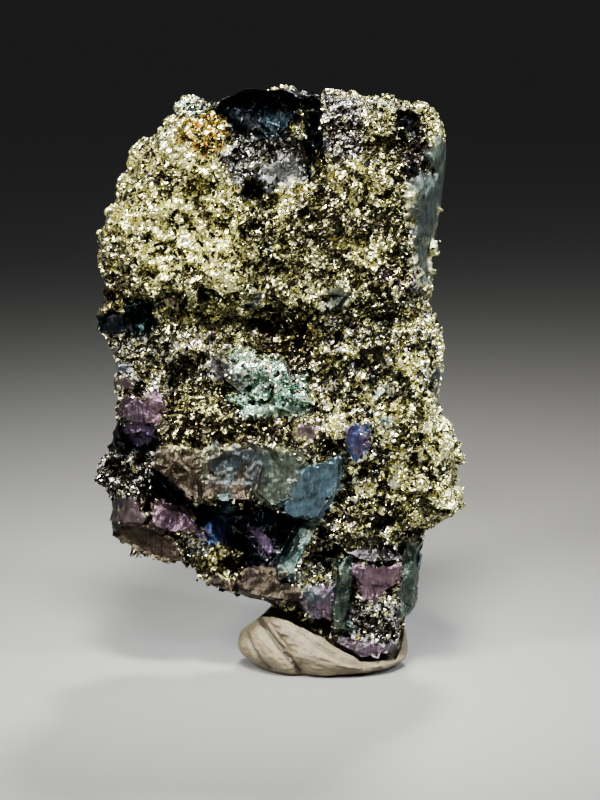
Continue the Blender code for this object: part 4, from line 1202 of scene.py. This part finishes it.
putty = {
    "edge": 0.17 * mm,
    "colour": (0.102, 0.080, 0.042),
    "darkColour": (0.060, 0.047, 0.024),
    "clouds": 420,             # per metre, as the other scales are
    "pits": 2600,
    "cracks": (330, 0.045, 0.54, 0.4),   # scale, width, how much is broken off, and darkness
    # creases: how deep in millimetres, how wide in pixels, and the line in the photograph's pixels; the
    # furrows are also painted darker as shade
    "creases": (
        (0.55, 2.2, ((258, 616), (268, 630), (282, 648), (296, 666), (306, 680))),
        (0.40, 1.8, ((247, 634), (252, 648), (262, 662), (272, 672))),
        (0.20, 2.2, ((300, 628), (318, 645), (345, 660), (372, 668))),
        (0.18, 2.0, ((322, 660), (350, 670), (380, 668))),
    ),
}


def puttyMaterial():
    material, tree, shader = makeNodes("tanPutty")
    coords = addNode(tree, "ShaderNodeTexCoord").outputs["Object"]
    clouds = noisePattern(tree, putty["clouds"], 6, coords)
    ramp = addNode(tree, "ShaderNodeValToRGB", {"Fac": clouds.outputs[0]})
    ends = ((0.3, putty["darkColour"]), (0.7, putty["colour"]))
    for element, (position, colour) in zip(ramp.color_ramp.elements, ends):
        element.position = position
        element.color = (*colour, 1)
    waves = (2 * mm, 2 * mm, 2 * mm)
    wavy = doVector(tree, "MULTIPLY_ADD", {0: clouds.outputs["Color"], 1: waves, 2: coords})
    scale, width, broken, strength = putty["cracks"]
    thin = cellBorders(tree, scale, width, wavy)
    mark = doMath(tree, "MULTIPLY", thin, doMath(tree, "GREATER_THAN", clouds.outputs[0], broken))
    # Painted shade: the furrows' attribute darkens the colour along the creases
    creaseShade = addNode(tree, "ShaderNodeAttribute", attribute_name="creaseShade").outputs["Fac"]
    mark = doMath(tree, "MAXIMUM", doMath(tree, "MULTIPLY", mark, strength), creaseShade)
    light = doMath(tree, "SUBTRACT", 1.0, mark)
    pits = noisePattern(tree, putty["pits"], 4, coords).outputs[0]
    bump = addNode(tree, "ShaderNodeBump", {"Strength": 0.8, "Distance": 0.2 * mm, "Height": pits})
    setInputs(shader, {
        "Base Color": doVector(tree, "SCALE", {0: ramp.outputs["Color"], "Scale": light}),
        "Normal": bump.outputs["Normal"], "Roughness": 0.7,
        "Subsurface Weight": 0.1, "Subsurface Scale": 1 * mm,
    })
    return material


def makePutty():
    bm = bmesh.new()
    bm.from_mesh(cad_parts["putty_foot"].data)
    bmesh.ops.remove_doubles(bm, verts=bm.verts, dist=1e-6)
    splitLong(bm, putty["edge"], 5)
    smoothVerts(bm, [vert for vert in bm.verts if vert.co.z > 0.2 * mm], 1)
    bm.normal_update()
    pixels = photoPixels(np.array([vert.co[:] for vert in bm.verts]))
    facing = np.array([vert.normal.dot(viewAlong) < 0 for vert in bm.verts])
    furrows = np.zeros(len(pixels))
    for depth, width, line in putty["creases"]:
        nearest = nearestOn(np.array(line, dtype=float), pixels)[0]
        furrows += facing * depth * np.exp(-(nearest / width) ** 2)
    for vert, furrow in zip(bm.verts, furrows):
        place = vert.co / mm
        lumps = 0.10 * noise.noise(place * 0.8) + 0.03 * noise.noise(place * 2.5)
        prints = 0.012 * sin(9.0 * (place.z + 0.6 * place.x + 0.8 * noise.noise(place * 0.5)))
        if vert.co.z > 0.1 * mm:
            vert.co += vert.normal * (lumps + prints - furrow) * mm
    for face in bm.faces:
        face.smooth = True
    mesh = meshFrom(bm, "puttyLump")
    # How much each furrow is painted darker as shade
    layer = mesh.attributes.new("creaseShade", "FLOAT", "POINT")
    layer.data.foreach_set("value", np.clip(1.6 * furrows, 0, 0.75))
    mesh.materials.append(puttyMaterial())
    obj = newObject("puttyLump", mesh)
    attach(obj, "root")
    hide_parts("putty_foot")
    print("putty", len(mesh.polygons), "faces")


studio = {
    "floorColour": (0.125, 0.124, 0.120),
    "worldColour": (0.070, 0.071, 0.074),
    "target": (0, -0.012, 0.032),
    # name: place, size, power in watts, colour, spread in degrees
    "lights": {
        "keyBox": ((0.00, -0.19, 0.34), (0.080, 0.060), 0.235, (1.0, 0.98, 0.91), 28),
        "leftBox": ((-0.22, -0.24, 0.26), (0.060, 0.060), 0.09, (1.0, 0.99, 0.94), 24),
        "rightBox": ((0.24, -0.20, 0.27), (0.050, 0.060), 0.06, (0.94, 0.98, 1.0), 24),
        "frontCard": ((-0.05, -0.38, 0.36), (0.14, 0.08), 0.07, (0.97, 0.98, 1.0), 18),
        "backBox": ((0.05, 0.20, 0.30), (0.06, 0.05), 0.09, (0.98, 0.98, 1.0), 28),
        "sideGlow": ((0.30, 0.06, 0.10), (0.04, 0.10), 0.03, (0.85, 0.95, 1.0), 28),
    },
}


def addLight(name, place, size, power, colour, spreadAngle):
    data = bpy.data.lights.new(name, "AREA")
    data.shape = "RECTANGLE"
    data.size, data.size_y = size
    data.energy = power
    data.color = colour
    data.spread = radians(spreadAngle)
    obj = newObject(name, data)
    obj.location = place
    obj.rotation_euler = (Vector(studio["target"]) - Vector(place)).to_track_quat("-Z", "Y").to_euler()


def makeStudio():
    bm = bmesh.new()
    bmesh.ops.create_grid(bm, x_segments=1, y_segments=1, size=3)
    mesh = meshFrom(bm, "studioFloor")
    floor = newObject("studioFloor", mesh)
    floor.location = (0, 0, -0.0002)
    material, tree, shader = makeNodes("paleFloor")
    setInputs(shader, {"Base Color": (*studio["floorColour"], 1), "Roughness": 0.6})
    mesh.materials.append(material)
    world = bpy.data.worlds.new("studio")
    world.use_nodes = True
    world.node_tree.nodes["Background"].inputs["Color"].default_value = (*studio["worldColour"], 1)
    bpy.context.scene.world = world
    for name, settings in studio["lights"].items():
        addLight(name, *settings)


makeCamera()
makeStudio()
rockMaterials = makeRockMaterials()
rockObject = makeRock(rockMaterials)
rimPlaces = makePlates(rockObject, rockMaterials[2])
makeGrains(rockObject, rockMaterials[0], rimPlaces)
makePutty()
